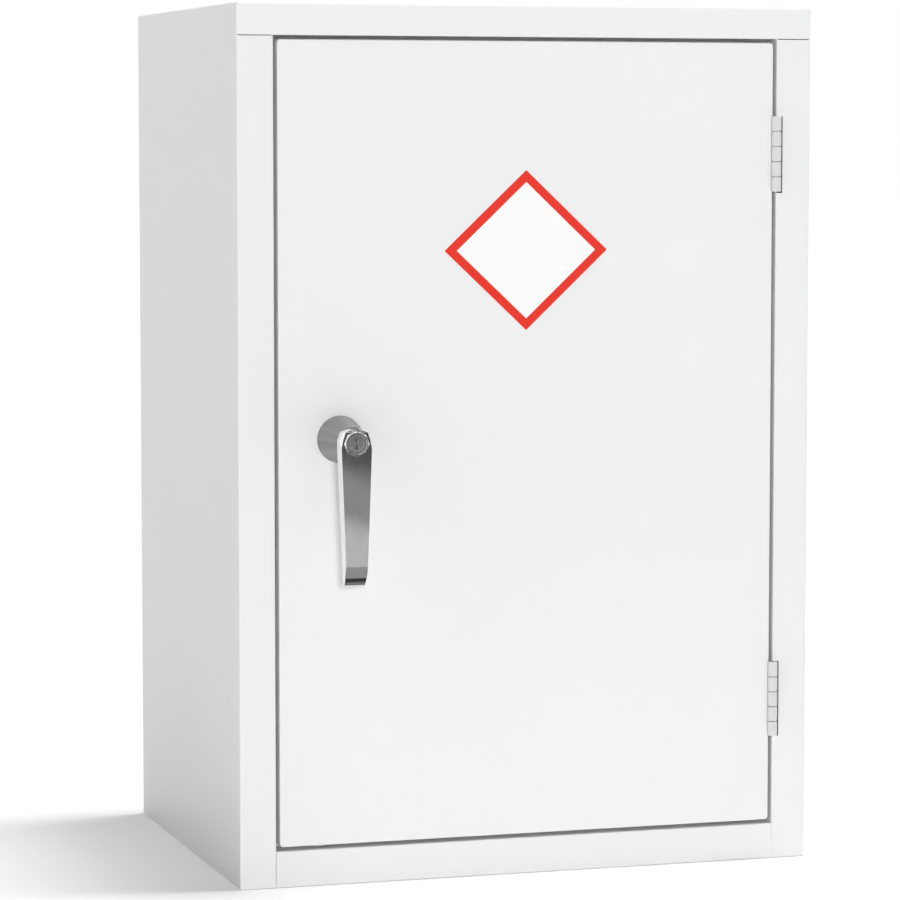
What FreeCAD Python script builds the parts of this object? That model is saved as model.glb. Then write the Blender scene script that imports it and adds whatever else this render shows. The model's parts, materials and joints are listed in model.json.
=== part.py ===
import FreeCAD, Part
import os
import re
import Sketcher

# Steel storage cabinet with one inset door, butt hinges, a locking swing handle and a spill tray.
# Millimetres. The origin is the centre of the base on the floor, the front faces -Y and +Z is up.

# Driving dimensions
SIZES = {
    # Carcass
    "width": 490,
    "depth": 360,
    "height": 712,
    "gauge": 1.2,
    "stile_width": 30,
    "top_rail": 26,
    "bottom_rail": 30,
    "bend_inner": 0.6,
    "crease_inner": 0.3,
    "seam_round": 1,
    "stop_lip": 12,
    "back_flange": 15,
    # Door
    "door_gap": 3.2,
    "door_depth": 20,
    "door_corner": 3,
    "door_lip": 12,
    "buffer_height": 2,
    "buffer_radius": 3.8,
    "buffer_inset": 60,
    "seat_gap": 0.3,
    "stiffener_offset": 40,
    "stiffener_crown": 36,
    "stiffener_flange": 14,
    "stiffener_rise": 16,
    "stiffener_inset": 45,
    "label_centre": -3.5,
    "label_top_inset": 169.3,
    "label_wide": 139,
    "label_tall": 130,
    "label_thick": 0.4,
    # Butt hinges
    "hinge_length": 62,
    "hinge_top_inset": 91.6,
    "hinge_bottom_inset": 103,
    "hinge_knuckles": 5,
    "knuckle_radius": 4,
    "knuckle_gap": 0.3,
    "knuckle_clear": 0.5,
    "leaf_thick": 1.3,
    "leaf_reach": 17,
    "hinge_pin_radius": 2.4,
    "running_fit": 0.05,
    "face_clear": 0.2,
    # Swing handle and key lock
    "handle_inset": 50.8,
    "handle_height": 363,
    "rose_base_radius": 19.2,
    "rose_top_radius": 13,
    "lever_stand": 50,
    "lever_head_thick": 12,
    "lever_end_thick": 8,
    "lever_drop": 115,
    "lever_top": 11.6,
    "lever_shoulder": 3,
    "lever_head_wide": 26.8,
    "lever_end_wide": 17.6,
    "lever_crown_wide": 9,
    "lever_tip_reach": 19,
    "lever_tip_thick": 7.5,
    "lever_tip_round": 3,
    "lever_knuckle": 12,
    "lever_edge": 0.8,
    "shank_radius": 10,
    "shank_length": 6,
    "shank_nut_wide": 26,
    "shank_nut_thick": 4.3,
    "neck_radius": 7,
    "rim_radius": 10.3,
    "rim_height": 1.2,
    "lock_barrel_radius": 9.2,
    "lock_web": 1.5,
    "plug_radius": 7.9,
    "plug_recess": 0.4,
    "keyway_wide": 2.4,
    "keyway_tall": 9,
    "keyway_deep": 8,
    # Lock linkage
    "spindle_square": 7,
    "spacer_radius": 6.3,
    "stud_radius": 3,
    "stud_end": 1,
    "cam_thick": 2.5,
    "cam_wide": 16,
    "cam_end": 5,
    "pin_throw": 14,
    "cam_pin_radius": 3,
    "rod_setback": 14,
    "rod_radius": 4,
    "rod_tip_inset": 0.5,
    "rod_tip_chamfer": 1.2,
    "rod_clear": 0.3,
    "rail_hole_clear": 1,
    "yoke_thick": 4,
    "yoke_jaw": 4,
    "rod_root": 1,
    "yoke_side_clear": 0.5,
    "spacer_clear": 0.9,
    "tongue_length": 50,
    "tongue_wide": 18,
    "tongue_thick": 3,
    "tongue_clear": 0.5,
    "tongue_round": 4,
    "washer_radius": 8,
    "washer_thick": 1.2,
    "stud_nut_wide": 11,
    "stud_nut_thick": 4.8,
    "guide_wide": 20,
    "guide_tall": 14,
    "guide_wall": 2,
    "guide_inset": 70,
    # Shelf, its strips and clips, and the spill tray
    "strip_setback": 70,
    "strip_wide": 20,
    "strip_thick": 1.5,
    "strip_margin": 55,
    "slot_pitch": 25,
    "slot_wide": 3.5,
    "slot_tall": 13,
    "clip_wide": 12,
    "clip_tall": 22,
    "clip_thick": 1.8,
    "clip_ledge": 14,
    "shelf_fall": 25,
    "shelf_play": 0.8,
    "shelf_front_gap": 16,
    "inner_gap": 6,
    "inner_round": 5,
    "tray_tall": 40,
    # Length by which every cutting tool runs past the face it opens
    "overrun": 5,
}

# Play in the yoke slots for the difference between the pin's arc and the rod's straight travel
linkage_play_share = 0.045
# How far up the lever's head facets bend, from its shoulders to its top
facet_bend_share = 0.75

# Places worked out from the driving dimensions
DERIVED = {
    "half_width": "width / 2",
    "front": "-(depth / 2)",
    "back": "depth / 2",
    "bend_outer": "bend_inner + gauge",
    "crease_outer": "crease_inner + gauge",
    "opening_half": "half_width - stile_width",
    "opening_low": "bottom_rail",
    "opening_high": "height - top_rail",
    "door_half": "opening_half - door_gap",
    "door_low": "opening_low + door_gap",
    "door_high": "opening_high - door_gap",
    "door_back": "front + door_depth",
    "door_inside": "front + gauge",
    "stop_front": "door_back + buffer_height + seat_gap",
    "stop_back": "stop_front + gauge",
    "label_height": "door_high - label_top_inset",
    "hinge_x": "opening_half - door_gap / 2",
    "hinge_y": "front - knuckle_radius - face_clear",
    "hinge_upper": "door_high - hinge_top_inset",
    "hinge_lower": "door_low + hinge_bottom_inset",
    "knuckle_length": "(hinge_length - (hinge_knuckles - 1) * knuckle_gap) / hinge_knuckles",
    "handle_x": "handle_inset - door_half",
    "lever_back": "lever_stand - lever_head_thick",
    "facet_bend": f"lever_shoulder + (lever_top - lever_shoulder) * {facet_bend_share}",
    "rod_y": "front + rod_setback",
    "rod_rest": "pin_throw / sqrt(2)",
    "slot_half": f"cam_pin_radius + pin_throw * {linkage_play_share}",
    "yoke_inner": "spacer_radius + spacer_clear",
    "yoke_slot_end": "pin_throw + cam_pin_radius + yoke_side_clear",
    "yoke_outer": "yoke_slot_end + yoke_jaw",
    "neck_end": "shank_length + seat_gap",
    "cam_back": "neck_end + cam_thick",
    "tongue_front": "stop_back + tongue_clear - front",
    "tongue_back": "tongue_front + tongue_thick",
    "strip_run": "height - 2 * strip_margin",
    "slots_below_shelf": "floor(strip_run / 2 / slot_pitch)",
    "shelf_low": "strip_margin + (slots_below_shelf + 1 / 2) * slot_pitch",
    "shelf_front": "tongue_back + shelf_front_gap + front",
    "inner_back": "back - 2 * gauge - inner_gap",
    "wall_inside": "half_width - gauge",
    "strip_inside": "wall_inside - strip_thick",
}

X_AXIS = FreeCAD.Vector(1, 0, 0)
Y_AXIS = FreeCAD.Vector(0, 1, 0)
Z_AXIS = FreeCAD.Vector(0, 0, 1)
TOLERANCE = 0.001

doc = FreeCAD.newDocument("storage_cabinet")
sheet = doc.addObject("Spreadsheet::Sheet", "Sizes")
nodes = []


def fill_sheet():
    """Puts each driving dimension in a row of the sheet, with its name as the alias."""
    for row, (name, size) in enumerate(SIZES.items(), start=1):
        sheet.set(f"A{row}", name)
        sheet.set(f"B{row}", str(size))
        sheet.setAlias(f"B{row}", name)
    doc.recompute()


def expression(text):
    """Turns names of sizes and places into references to the sheet."""
    def named(match):
        word = match.group(0)
        if word in DERIVED:
            return "(" + expression(DERIVED[word]) + ")"
        if word in SIZES:
            return "Sizes." + word
        return word
    return re.sub(r"[a-z][a-z_]*", named, str(text))


def value(text):
    """Number that an expression has now."""
    return float(sheet.evalExpression(expression(text)))


def bind(thing, **places):
    """Binds properties of an object to expressions; place_x, place_y and place_z are its position."""
    for name, text in places.items():
        target = ".Placement.Base." + name[-1] if name.startswith("place_") else name
        thing.setExpression(target, expression(text))
    return thing


def keep(thing, name):
    """Names a finished sub-part and lists it for export."""
    thing.Label = name
    nodes.append(thing)
    return thing


def new_body(name):
    """Empty body whose label is the sub-part's name."""
    body = doc.addObject("PartDesign::Body", "body_" + name)
    return keep(body, name)


def new_sketch(body, plane, lift=0):
    """Sketch on one of the body's own origin planes, moved along the plane's normal by lift."""
    sketch = body.newObject("Sketcher::SketchObject", "sketch")
    origin_plane = [item for item in body.Origin.OriginFeatures if item.Role == plane + "_Plane"][0]
    sketch.AttachmentSupport = (origin_plane, [""])
    sketch.MapMode = "FlatFace"
    sketch.setExpression("AttachmentOffset.Base.z", expression(lift))
    return sketch


def set_place(sketch, corner, end, place):
    """Fixes one point of a sketch's curve at a place given as two expressions."""
    for axis, text in zip(("DistanceX", "DistanceY"), place):
        constraint = Sketcher.Constraint(axis, -1, 1, corner, end, value(text))
        index = sketch.addConstraint(constraint)
        sketch.setExpression(f"Constraints[{index}]", expression(text))


def outline(body, plane, points, lift=0):
    """Sketch of a closed outline of straight lines through points given as pairs of expressions."""
    sketch = new_sketch(body, plane, lift)
    spots = [FreeCAD.Vector(value(across), value(up), 0) for across, up in points]
    for first, second in zip(spots, spots[1:] + spots[:1]):
        sketch.addGeometry(Part.LineSegment(first, second), False)
    for line in range(len(spots)):
        following = (line + 1) % len(spots)
        sketch.addConstraint(Sketcher.Constraint("Coincident", line, 2, following, 1))
    for line, place in enumerate(points):
        set_place(sketch, line, 1, place)
    return sketch


def rectangle(body, plane, low, high, lift=0):
    """Sketch of a rectangle between two opposite corners."""
    corners = [low, (high[0], low[1]), high, (low[0], high[1])]
    return outline(body, plane, corners, lift)


def circles(body, plane, centres, radius, lift=0):
    """Sketch of equal circles."""
    sketch = new_sketch(body, plane, lift)
    for centre in centres:
        middle = FreeCAD.Vector(value(centre[0]), value(centre[1]), 0)
        curve = sketch.addGeometry(Part.Circle(middle, Z_AXIS, value(radius)), False)
        set_place(sketch, curve, 3, centre)
        index = sketch.addConstraint(Sketcher.Constraint("Radius", curve, value(radius)))
        sketch.setExpression(f"Constraints[{index}]", expression(radius))
    return sketch


def pad(body, sketch, length, reverse=False, middle=False):
    """Adds a sketch's prism to its body."""
    feature = body.newObject("PartDesign::Pad", "pad")
    feature.Profile = sketch
    feature.Reversed = reverse
    if middle:
        feature.Midplane = True
    feature.setExpression("Length", expression(length))
    doc.recompute()
    return feature


def pocket(body, sketch, length, forward=False):
    """Cuts a sketch's prism out of its body, against the sketch's normal or forward along it."""
    before = body.Shape.Volume
    feature = body.newObject("PartDesign::Pocket", "pocket")
    feature.Profile = sketch
    feature.Reversed = forward
    feature.setExpression("Length", expression(length))
    doc.recompute()
    if not body.Shape.Volume < before - TOLERANCE:
        raise RuntimeError(f"a pocket of {body.Label} cut nothing")
    return feature


def edges_at(shape, axis, places):
    """Names of a shape's straight edges that run along an axis (0, 1 or 2) through the places."""
    others = [index for index in range(3) if index != axis]
    names = []
    for number, edge in enumerate(shape.Edges, start=1):
        ends = [vertex.Point for vertex in edge.Vertexes]
        if len(ends) < 2 or not isinstance(edge.Curve, Part.Line):
            continue
        for place in places:
            misses = [abs(end[index] - spot) for end in ends for index, spot in zip(others, place)]
            if max(misses) < TOLERANCE:
                names.append(f"Edge{number}")
                break
    return names


def fillet(body, runs, radius):
    """Rounds the straight edges named by runs, a list of (axis, places) in the body's own frame."""
    base = body.Tip
    names = []
    for axis, places in runs:
        names += edges_at(base.Shape, axis, [(value(first), value(second)) for first, second in places])
    feature = body.newObject("PartDesign::Fillet", "fillet")
    feature.Base = (base, names)
    feature.setExpression("Radius", expression(radius))
    doc.recompute()
    return feature


def box(low, high):
    """Block between two corners given as expressions."""
    block = doc.addObject("Part::Box", "block")
    for name, axis, start, end in zip(("Length", "Width", "Height"), "xyz", low, high):
        bind(block, **{"place_" + axis: start, name: f"({end}) - ({start})"})
    return block


def rod_along(direction, radius, start, end, centre=("0", "0")):
    """Cylinder along an axis, from start to end, with its centre line at the two other places."""
    cylinder = doc.addObject("Part::Cylinder", "round")
    turns = {"x": FreeCAD.Rotation(Y_AXIS, 90), "y": FreeCAD.Rotation(X_AXIS, -90), "z": FreeCAD.Rotation()}
    cylinder.Placement = FreeCAD.Placement(FreeCAD.Vector(), turns[direction])
    others = [axis for axis in "xyz" if axis != direction]
    bind(cylinder, Radius=radius, Height=f"({end}) - ({start})")
    bind(cylinder, **{"place_" + direction: start})
    bind(cylinder, **{"place_" + axis: place for axis, place in zip(others, centre)})
    return cylinder


def fuse(parts):
    """One solid of several."""
    joined = doc.addObject("Part::MultiFuse", "fusion")
    joined.Shapes = parts
    joined.Refine = True
    doc.recompute()
    return joined


def cut(base, tools):
    """A solid less the tools."""
    tool = tools[0] if len(tools) == 1 else fuse(tools)
    rest = doc.addObject("Part::Cut", "cut")
    rest.Base = base
    rest.Tool = tool
    doc.recompute()
    return rest


def group(parts, name):
    """Equal separate solids that share one node."""
    together = doc.addObject("Part::Compound", "group")
    together.Links = parts
    return keep(together, name)


def at_handle(thing, turn=0, setback="0"):
    """Places what is drawn about the spindle's axis, with the door's face at y 0."""
    thing.Placement = FreeCAD.Placement(FreeCAD.Vector(), FreeCAD.Rotation(Y_AXIS, turn))
    bind(thing, place_x="handle_x", place_y=f"front + {setback}", place_z="handle_height")
    return thing


def side_panel(name, side):
    """Side wall with its back flange, front stile, return and stop lip, folded from one sheet."""
    def across(text):
        return f"{side} * ({text})"

    body = new_body(name)
    plan = [
        (across("half_width - back_flange"), "back"),
        (across("half_width"), "back"),
        (across("half_width"), "front"),
        (across("opening_half"), "front"),
        (across("opening_half"), "stop_front"),
        (across("opening_half - stop_lip"), "stop_front"),
        (across("opening_half - stop_lip"), "stop_back"),
        (across("opening_half + gauge"), "stop_back"),
        (across("opening_half + gauge"), "front + gauge"),
        (across("wall_inside"), "front + gauge"),
        (across("wall_inside"), "back - gauge"),
        (across("half_width - back_flange"), "back - gauge"),
    ]
    pad(body, outline(body, "XY", plan, "bend_outer"), "height - 2 * bend_outer")
    fillet(body, [(2, [plan[1], plan[2]])], "bend_outer")
    fillet(body, [(2, [plan[9], plan[10]])], "bend_inner")
    fillet(body, [(2, [plan[3], plan[7]])], "crease_outer")
    fillet(body, [(2, [plan[4], plan[8]])], "crease_inner")
    beyond_lip = across("opening_half - stop_lip - overrun")
    above_opening = [
        (across("half_width + overrun"), "front - overrun"),
        (across("half_width + overrun"), "front + bend_outer"),
        (across("wall_inside"), "front + bend_outer"),
        (across("wall_inside"), "stop_back + overrun"),
        (beyond_lip, "stop_back + overrun"),
        (beyond_lip, "front - overrun"),
    ]
    pocket(body, outline(body, "XY", above_opening, "opening_high"), "top_rail", forward=True)
    below_opening = rectangle(body, "XY", (beyond_lip, "stop_front - overrun"),
                              (across("opening_half"), "stop_back + overrun"), "opening_low")
    pocket(body, below_opening, "bottom_rail")
    return body


def shell(body, open_level):
    """Hollows a solid to the sheet's gauge, open on its flat face at one level."""
    level = value(open_level)
    solid = body.Tip
    mouth = [f"Face{number}" for number, face in enumerate(solid.Shape.Faces, start=1)
             if abs(face.BoundBox.ZMin - level) + abs(face.BoundBox.ZMax - level) < TOLERANCE]
    hollow = body.newObject("PartDesign::Thickness", "hollow")
    hollow.Base = (solid, mouth)
    hollow.Reversed = True
    hollow.setExpression("Value", expression("gauge"))
    doc.recompute()


def pan(body, half, ends, sheet_level, open_level, rounding):
    """Rectangular pan of sheet with rounded corners and rim, open at one level."""
    low, high = sorted((sheet_level, open_level), key=value)
    pad(body, rectangle(body, "XY", (f"-({half})", ends[0]), (half, ends[1]), low), f"({high}) - ({low})")
    corners = [(side, end) for side in (half, f"-({half})") for end in ends]
    fillet(body, [(2, corners)], rounding)
    fillet(body, [(0, [(end, sheet_level) for end in ends])], rounding)
    shell(body, open_level)


def rail_flange(body, low, high, reach, lip_low):
    """Flange behind a rail from low to high, and the stop lip that stands on its back edge."""
    flange = rectangle(body, "XY", (f"-({reach})", "front + gauge"), (reach, "stop_back"), low)
    pad(body, flange, f"({high}) - ({low})")
    lip = rectangle(body, "XY", ("stop_lip - opening_half", "stop_front"),
                    ("opening_half - stop_lip", "stop_back"), lip_low)
    pad(body, lip, "stop_lip + gauge")


def rod_hole(body, side, level):
    """Hole in a rail's flange that a lock rod enters."""
    centre = (f"handle_x + {side} * pin_throw", "rod_y")
    pocket(body, circles(body, "XY", [centre], "rod_radius + rail_hole_clear", level), "gauge + overrun")


def top_panel():
    """Top sheet with short turned-down edges and the front rail across the whole width."""
    body = new_body("top_panel")
    pan(body, "half_width", ("front", "back"), "height", "opening_high", "bend_outer")
    skirt = rectangle(body, "XY", ("-(half_width) - overrun", "front + bend_outer"),
                      ("half_width + overrun", "back + overrun"), "opening_high")
    pocket(body, skirt, "top_rail - bend_outer", forward=True)
    rail_flange(body, "opening_high", "opening_high + gauge", "wall_inside", "opening_high - stop_lip")
    fillet(body, [(0, [("front", "opening_high")])], "seam_round")
    rod_hole(body, 1, "opening_high + gauge")


def base_panel():
    """Base sheet with short turned-up edges and the bottom rail between the stiles."""
    body = new_body("base_panel")
    pan(body, "half_width", ("front", "back"), "0", "bottom_rail", "bend_outer")
    skirt = [
        ("-(half_width) - overrun", "front - overrun"),
        ("-(opening_half)", "front - overrun"),
        ("-(opening_half)", "front + gauge"),
        ("opening_half", "front + gauge"),
        ("opening_half", "front - overrun"),
        ("half_width + overrun", "front - overrun"),
        ("half_width + overrun", "back + overrun"),
        ("-(half_width) - overrun", "back + overrun"),
    ]
    pocket(body, outline(body, "XY", skirt, "bend_outer"), "bottom_rail", forward=True)
    rail_flange(body, "bottom_rail - gauge", "bottom_rail", "opening_half", "bottom_rail - gauge")
    fillet(body, [(0, [("front", "bottom_rail")])], "crease_outer")
    rod_hole(body, -1, "bottom_rail")


def back_panel():
    """Flat sheet welded to the side panels' back flanges."""
    sheet_back = box(("bend_outer - half_width", "back - 2 * gauge", "bend_outer"),
                     ("half_width - bend_outer", "back - gauge", "height - bend_outer"))
    keep(sheet_back, "back_panel")


def shelf_strip(name, side, end):
    """Slotted upright on a side wall that the shelf clips hook into."""
    body = new_body(name)
    middle = f"{end} * (back - strip_setback)"
    face = "strip_inside" if side > 0 else "-(wall_inside)"
    blank = rectangle(body, "YZ", (f"{middle} - strip_wide / 2", "strip_margin"),
                      (f"{middle} + strip_wide / 2", "height - strip_margin"), face)
    pad(body, blank, "strip_thick")
    slot_low = "strip_margin + (slot_pitch - slot_tall) / 2"
    slot = rectangle(body, "YZ", (f"{middle} - slot_wide / 2", slot_low),
                     (f"{middle} + slot_wide / 2", f"{slot_low} + slot_tall"),
                     f"{face} + strip_thick + overrun")
    first = pocket(body, slot, "strip_thick + 2 * overrun")
    row = body.newObject("PartDesign::LinearPattern", "row")
    row.Originals = [first]
    row.Direction = (slot, ["V_Axis"])
    count = "floor(strip_run / slot_pitch)"
    row.setExpression("Length", expression(f"({count} - 1) * slot_pitch"))
    row.setExpression("Occurrences", expression(count))
    body.Tip = row


def shelf_clips():
    """Four clips on the strips: a plate against the strip and a ledge under the shelf."""
    clips = []
    for side in (-1, 1):
        for end in (-1, 1):
            middle = f"{end} * (back - strip_setback)"
            plate_low = "strip_inside - clip_thick" if side > 0 else "-(strip_inside)"
            ledge_low = "strip_inside - clip_ledge" if side > 0 else "-(strip_inside)"
            plate = box((plate_low, f"{middle} - clip_wide / 2", "shelf_low - clip_tall"),
                        (f"{plate_low} + clip_thick", f"{middle} + clip_wide / 2", "shelf_low"))
            ledge = box((ledge_low, f"{middle} - clip_wide / 2", "shelf_low - clip_thick"),
                        (f"{ledge_low} + clip_ledge", f"{middle} + clip_wide / 2", "shelf_low"))
            clips.append(fuse([plate, ledge]))
    group(clips, "shelf_clips")


def shelf():
    """Shelf folded down on all four edges."""
    body = new_body("shelf")
    pan(body, "strip_inside - shelf_play", ("shelf_front", "inner_back"), "shelf_low + shelf_fall",
        "shelf_low", "crease_outer")


def spill_tray():
    """Leak-tight tray on the base sheet, with rounded corners."""
    body = new_body("spill_tray")
    pan(body, "wall_inside - inner_gap", ("shelf_front", "inner_back"), "gauge", "gauge + tray_tall",
        "inner_round")


def door_skin():
    """Door sheet with edges folded back and lips folded in behind them."""
    body = new_body("door_skin")
    blank = rectangle(body, "XZ", ("-(door_half)", "door_low"), ("door_half", "door_high"), "-(door_back)")
    pad(body, blank, "door_depth")
    sides = ("door_half", "-(door_half)")
    levels = ("door_low", "door_high")
    fillet(body, [(1, [(side, level) for side in sides for level in levels])], "door_corner")
    fillet(body, [(0, [("front", level) for level in levels])], "crease_outer")
    way_in = rectangle(body, "XZ", ("door_lip - door_half", "door_low + door_lip"),
                       ("door_half - door_lip", "door_high - door_lip"), "-(door_back)")
    pocket(body, way_in, "door_depth - gauge", forward=True)
    hollow = rectangle(body, "XZ", ("gauge - door_half", "door_low + gauge"),
                       ("door_half - gauge", "door_high - gauge"), "gauge - door_back")
    pocket(body, hollow, "door_depth - 2 * gauge", forward=True)
    shank_hole = circles(body, "XZ", [("handle_x", "handle_height")], "shank_radius + running_fit",
                         "-(front) - gauge - overrun")
    pocket(body, shank_hole, "gauge + 2 * overrun", forward=True)
    for side, level in ((1, "door_high"), (-1, "door_low + gauge")):
        hole = circles(body, "XY", [(f"handle_x + {side} * pin_throw", "rod_y")],
                       "rod_radius + rod_clear", f"{level} + overrun")
        pocket(body, hole, "gauge + 2 * overrun")


def door_stiffener():
    """Top-hat rib down the inside of the door."""
    body = new_body("door_stiffener")
    reach = "stiffener_crown / 2 + stiffener_flange"
    crown = "stiffener_crown / 2"
    root = "door_inside"
    top = "door_inside + stiffener_rise"
    plan = [
        (f"stiffener_offset - ({reach})", root),
        (f"stiffener_offset - {crown} + gauge", root),
        (f"stiffener_offset - {crown} + gauge", f"{top} - gauge"),
        (f"stiffener_offset + {crown} - gauge", f"{top} - gauge"),
        (f"stiffener_offset + {crown} - gauge", root),
        (f"stiffener_offset + {reach}", root),
        (f"stiffener_offset + {reach}", f"{root} + gauge"),
        (f"stiffener_offset + {crown}", f"{root} + gauge"),
        (f"stiffener_offset + {crown}", top),
        (f"stiffener_offset - {crown}", top),
        (f"stiffener_offset - {crown}", f"{root} + gauge"),
        (f"stiffener_offset - ({reach})", f"{root} + gauge"),
    ]
    pad(body, outline(body, "XY", plan, "door_low + stiffener_inset"),
        "door_high - door_low - 2 * stiffener_inset")
    fillet(body, [(2, [plan[8], plan[9]])], "crease_outer")


def door_label():
    """Diamond label plate on the door's face."""
    body = new_body("door_label")
    diamond = [
        ("label_centre - label_wide / 2", "label_height"),
        ("label_centre", "label_height - label_tall / 2"),
        ("label_centre + label_wide / 2", "label_height"),
        ("label_centre", "label_height + label_tall / 2"),
    ]
    pad(body, outline(body, "XZ", diamond, "-(front)"), "label_thick")


def door_buffers():
    """Rubber buffers on the door's lips, facing the stop lips."""
    across = "(door_half + opening_half - stop_lip) / 2"
    buffers = []
    for side in (-1, 1):
        for level in ("door_low + buffer_inset", "door_high - buffer_inset"):
            buffers.append(rod_along("y", "buffer_radius", "door_back", "door_back + buffer_height",
                                     (f"{side} * ({across})", level)))
    group(buffers, "door_buffers")


def knuckles(numbers):
    """Barrel knuckles of a hinge, counted from its lower end, about the pin's axis."""
    pieces = []
    for number in numbers:
        low = f"{number} * (knuckle_length + knuckle_gap) - hinge_length / 2"
        pieces.append(rod_along("z", "knuckle_radius", low, f"{low} + knuckle_length"))
    return pieces


def hinge_leaf(name, side, level, own, other):
    """Leaf in the door gap with its own knuckles, cleared round the other leaf's knuckles."""
    inner = "door_gap / 2 - leaf_thick"
    low_x, high_x = (inner, "door_gap / 2") if side > 0 else ("-(door_gap / 2)", f"-({inner})")
    face = "knuckle_radius + face_clear"
    leaf = box((low_x, "0", "-(hinge_length / 2)"), (high_x, f"{face} + leaf_reach", "hinge_length / 2"))
    tools = [rod_along("z", "hinge_pin_radius + running_fit", "-(hinge_length) / 2 - overrun",
                       "hinge_length / 2 + overrun")]
    for number in other:
        low = f"{number} * (knuckle_length + knuckle_gap) - hinge_length / 2 - knuckle_gap"
        high = f"{low} + knuckle_length + 2 * knuckle_gap"
        tools.append(box(("-(door_gap)", "-(overrun)", low),
                         ("door_gap", "knuckle_radius + knuckle_clear", high)))
    solid = cut(fuse([leaf] + knuckles(own)), tools)
    bind(solid, place_x="hinge_x", place_y="hinge_y", place_z=level)
    keep(solid, name)


def butt_hinge(name, level):
    """Five-knuckle butt hinge: frame leaf, door leaf and pin."""
    numbers = range(SIZES["hinge_knuckles"])
    even = [number for number in numbers if number % 2 == 0]
    odd = [number for number in numbers if number % 2 == 1]
    hinge_leaf(f"{name}_hinge_frame_leaf", 1, level, even, odd)
    hinge_leaf(f"{name}_hinge_door_leaf", -1, level, odd, even)
    pin = rod_along("z", "hinge_pin_radius", f"{level} - hinge_length / 2", f"{level} + hinge_length / 2",
                    ("hinge_x", "hinge_y"))
    keep(pin, f"{name}_hinge_pin")


def handle_rose():
    """Cone between the door and the lever, with a threaded shank through the door."""
    cone = doc.addObject("Part::Cone", "cone")
    cone.Placement = FreeCAD.Placement(FreeCAD.Vector(), FreeCAD.Rotation(X_AXIS, 90))
    bind(cone, Radius1="rose_base_radius", Radius2="rose_top_radius", Height="lever_back - seat_gap")
    shank = rod_along("y", "shank_radius", "0", "shank_length")
    bore = rod_along("y", "neck_radius + running_fit", "-(lever_back) - overrun", "shank_length + overrun")
    keep(at_handle(cut(fuse([cone, shank]), [bore])), "handle_rose")


def hex_nut(name, wide, thick, bore, start):
    """Hexagon nut from start, with a plain bore."""
    prism = doc.addObject("Part::Prism", "hexagon")
    prism.Polygon = 6
    prism.Placement = FreeCAD.Placement(FreeCAD.Vector(), FreeCAD.Rotation(X_AXIS, -90))
    bind(prism, Circumradius=f"{wide} / sqrt(3)", Height=thick, place_y=start)
    hole = rod_along("y", bore, f"{start} - overrun", f"{start} + {thick} + overrun")
    keep(at_handle(cut(prism, [hole])), name)


def handle_lever():
    """Tapered lever with a faceted head, curved towards the door at its lower end."""
    body = new_body("handle_lever")
    side = [
        ("-(lever_stand)", "lever_top"),
        ("-(lever_stand)", "-(lever_drop)"),
        ("lever_tip_reach - lever_stand", "-(lever_drop)"),
        ("lever_tip_reach - lever_stand", "lever_tip_thick - lever_drop"),
        ("lever_end_thick - lever_stand", "lever_tip_thick - lever_drop"),
        ("-(lever_back)", "-(rose_top_radius) - lever_edge"),
        ("-(lever_back)", "lever_top"),
    ]
    pad(body, outline(body, "YZ", side), "lever_head_wide", middle=True)
    fillet(body, [(0, [side[1]])], "lever_knuckle")
    fillet(body, [(0, [side[4]])], "lever_knuckle - lever_tip_thick")
    fillet(body, [(0, [side[2], side[3]])], "lever_tip_round")
    for hand in (-1, 1):
        taper = [
            (f"{hand} * lever_head_wide / 2", "lever_shoulder"),
            (f"{hand} * lever_end_wide / 2", "-(lever_drop)"),
            (f"{hand} * lever_end_wide / 2", "-(lever_drop) - overrun"),
            (f"{hand} * (lever_head_wide / 2 + overrun)", "-(lever_drop) - overrun"),
            (f"{hand} * (lever_head_wide / 2 + overrun)", "lever_shoulder"),
        ]
        pocket(body, outline(body, "XZ", taper), "lever_stand + overrun", forward=True)
        facet = [
            (f"{hand} * lever_head_wide / 2", "lever_shoulder"),
            (f"{hand} * (lever_head_wide / 2 + lever_crown_wide) / 2", "facet_bend"),
            (f"{hand} * lever_crown_wide / 2", "lever_top"),
            (f"{hand} * lever_crown_wide / 2", "lever_top + overrun"),
            (f"{hand} * (lever_head_wide / 2 + overrun)", "lever_top + overrun"),
            (f"{hand} * (lever_head_wide / 2 + overrun)", "lever_shoulder"),
        ]
        pocket(body, outline(body, "XZ", facet), "lever_stand + overrun", forward=True)
    seat = circles(body, "XZ", [("0", "0")], "lock_barrel_radius + running_fit", "lever_back + lock_web")
    pocket(body, seat, "lever_head_thick", forward=True)
    at_handle(body)


def lock_cylinder():
    """Key lock's barrel with a bright rim on the lever's face."""
    barrel_end = "-(lever_back) - lock_web - seat_gap"
    barrel = rod_along("y", "lock_barrel_radius", "-(lever_stand)", barrel_end)
    rim = rod_along("y", "rim_radius", "-(lever_stand) - rim_height", "-(lever_stand)")
    bore = rod_along("y", "plug_radius + running_fit", "-(lever_stand) - rim_height - overrun",
                     f"{barrel_end} + overrun")
    keep(at_handle(cut(fuse([barrel, rim]), [bore])), "lock_cylinder")


def lock_plug():
    """Turning plug with a keyway."""
    face = "-(lever_stand) - rim_height + plug_recess"
    plug = rod_along("y", "plug_radius", face, "-(lever_back) - lock_web - seat_gap")
    keyway = box(("-(keyway_wide) / 2", f"{face} - overrun", "-(keyway_tall) / 2"),
                 ("keyway_wide / 2", f"{face} + keyway_deep", "keyway_tall / 2"))
    keep(at_handle(cut(plug, [keyway])), "lock_plug")


def square_block(half, start, end):
    """Square bar about the spindle's axis."""
    return box((f"-({half})", start, f"-({half})"), (half, end, half))


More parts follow.
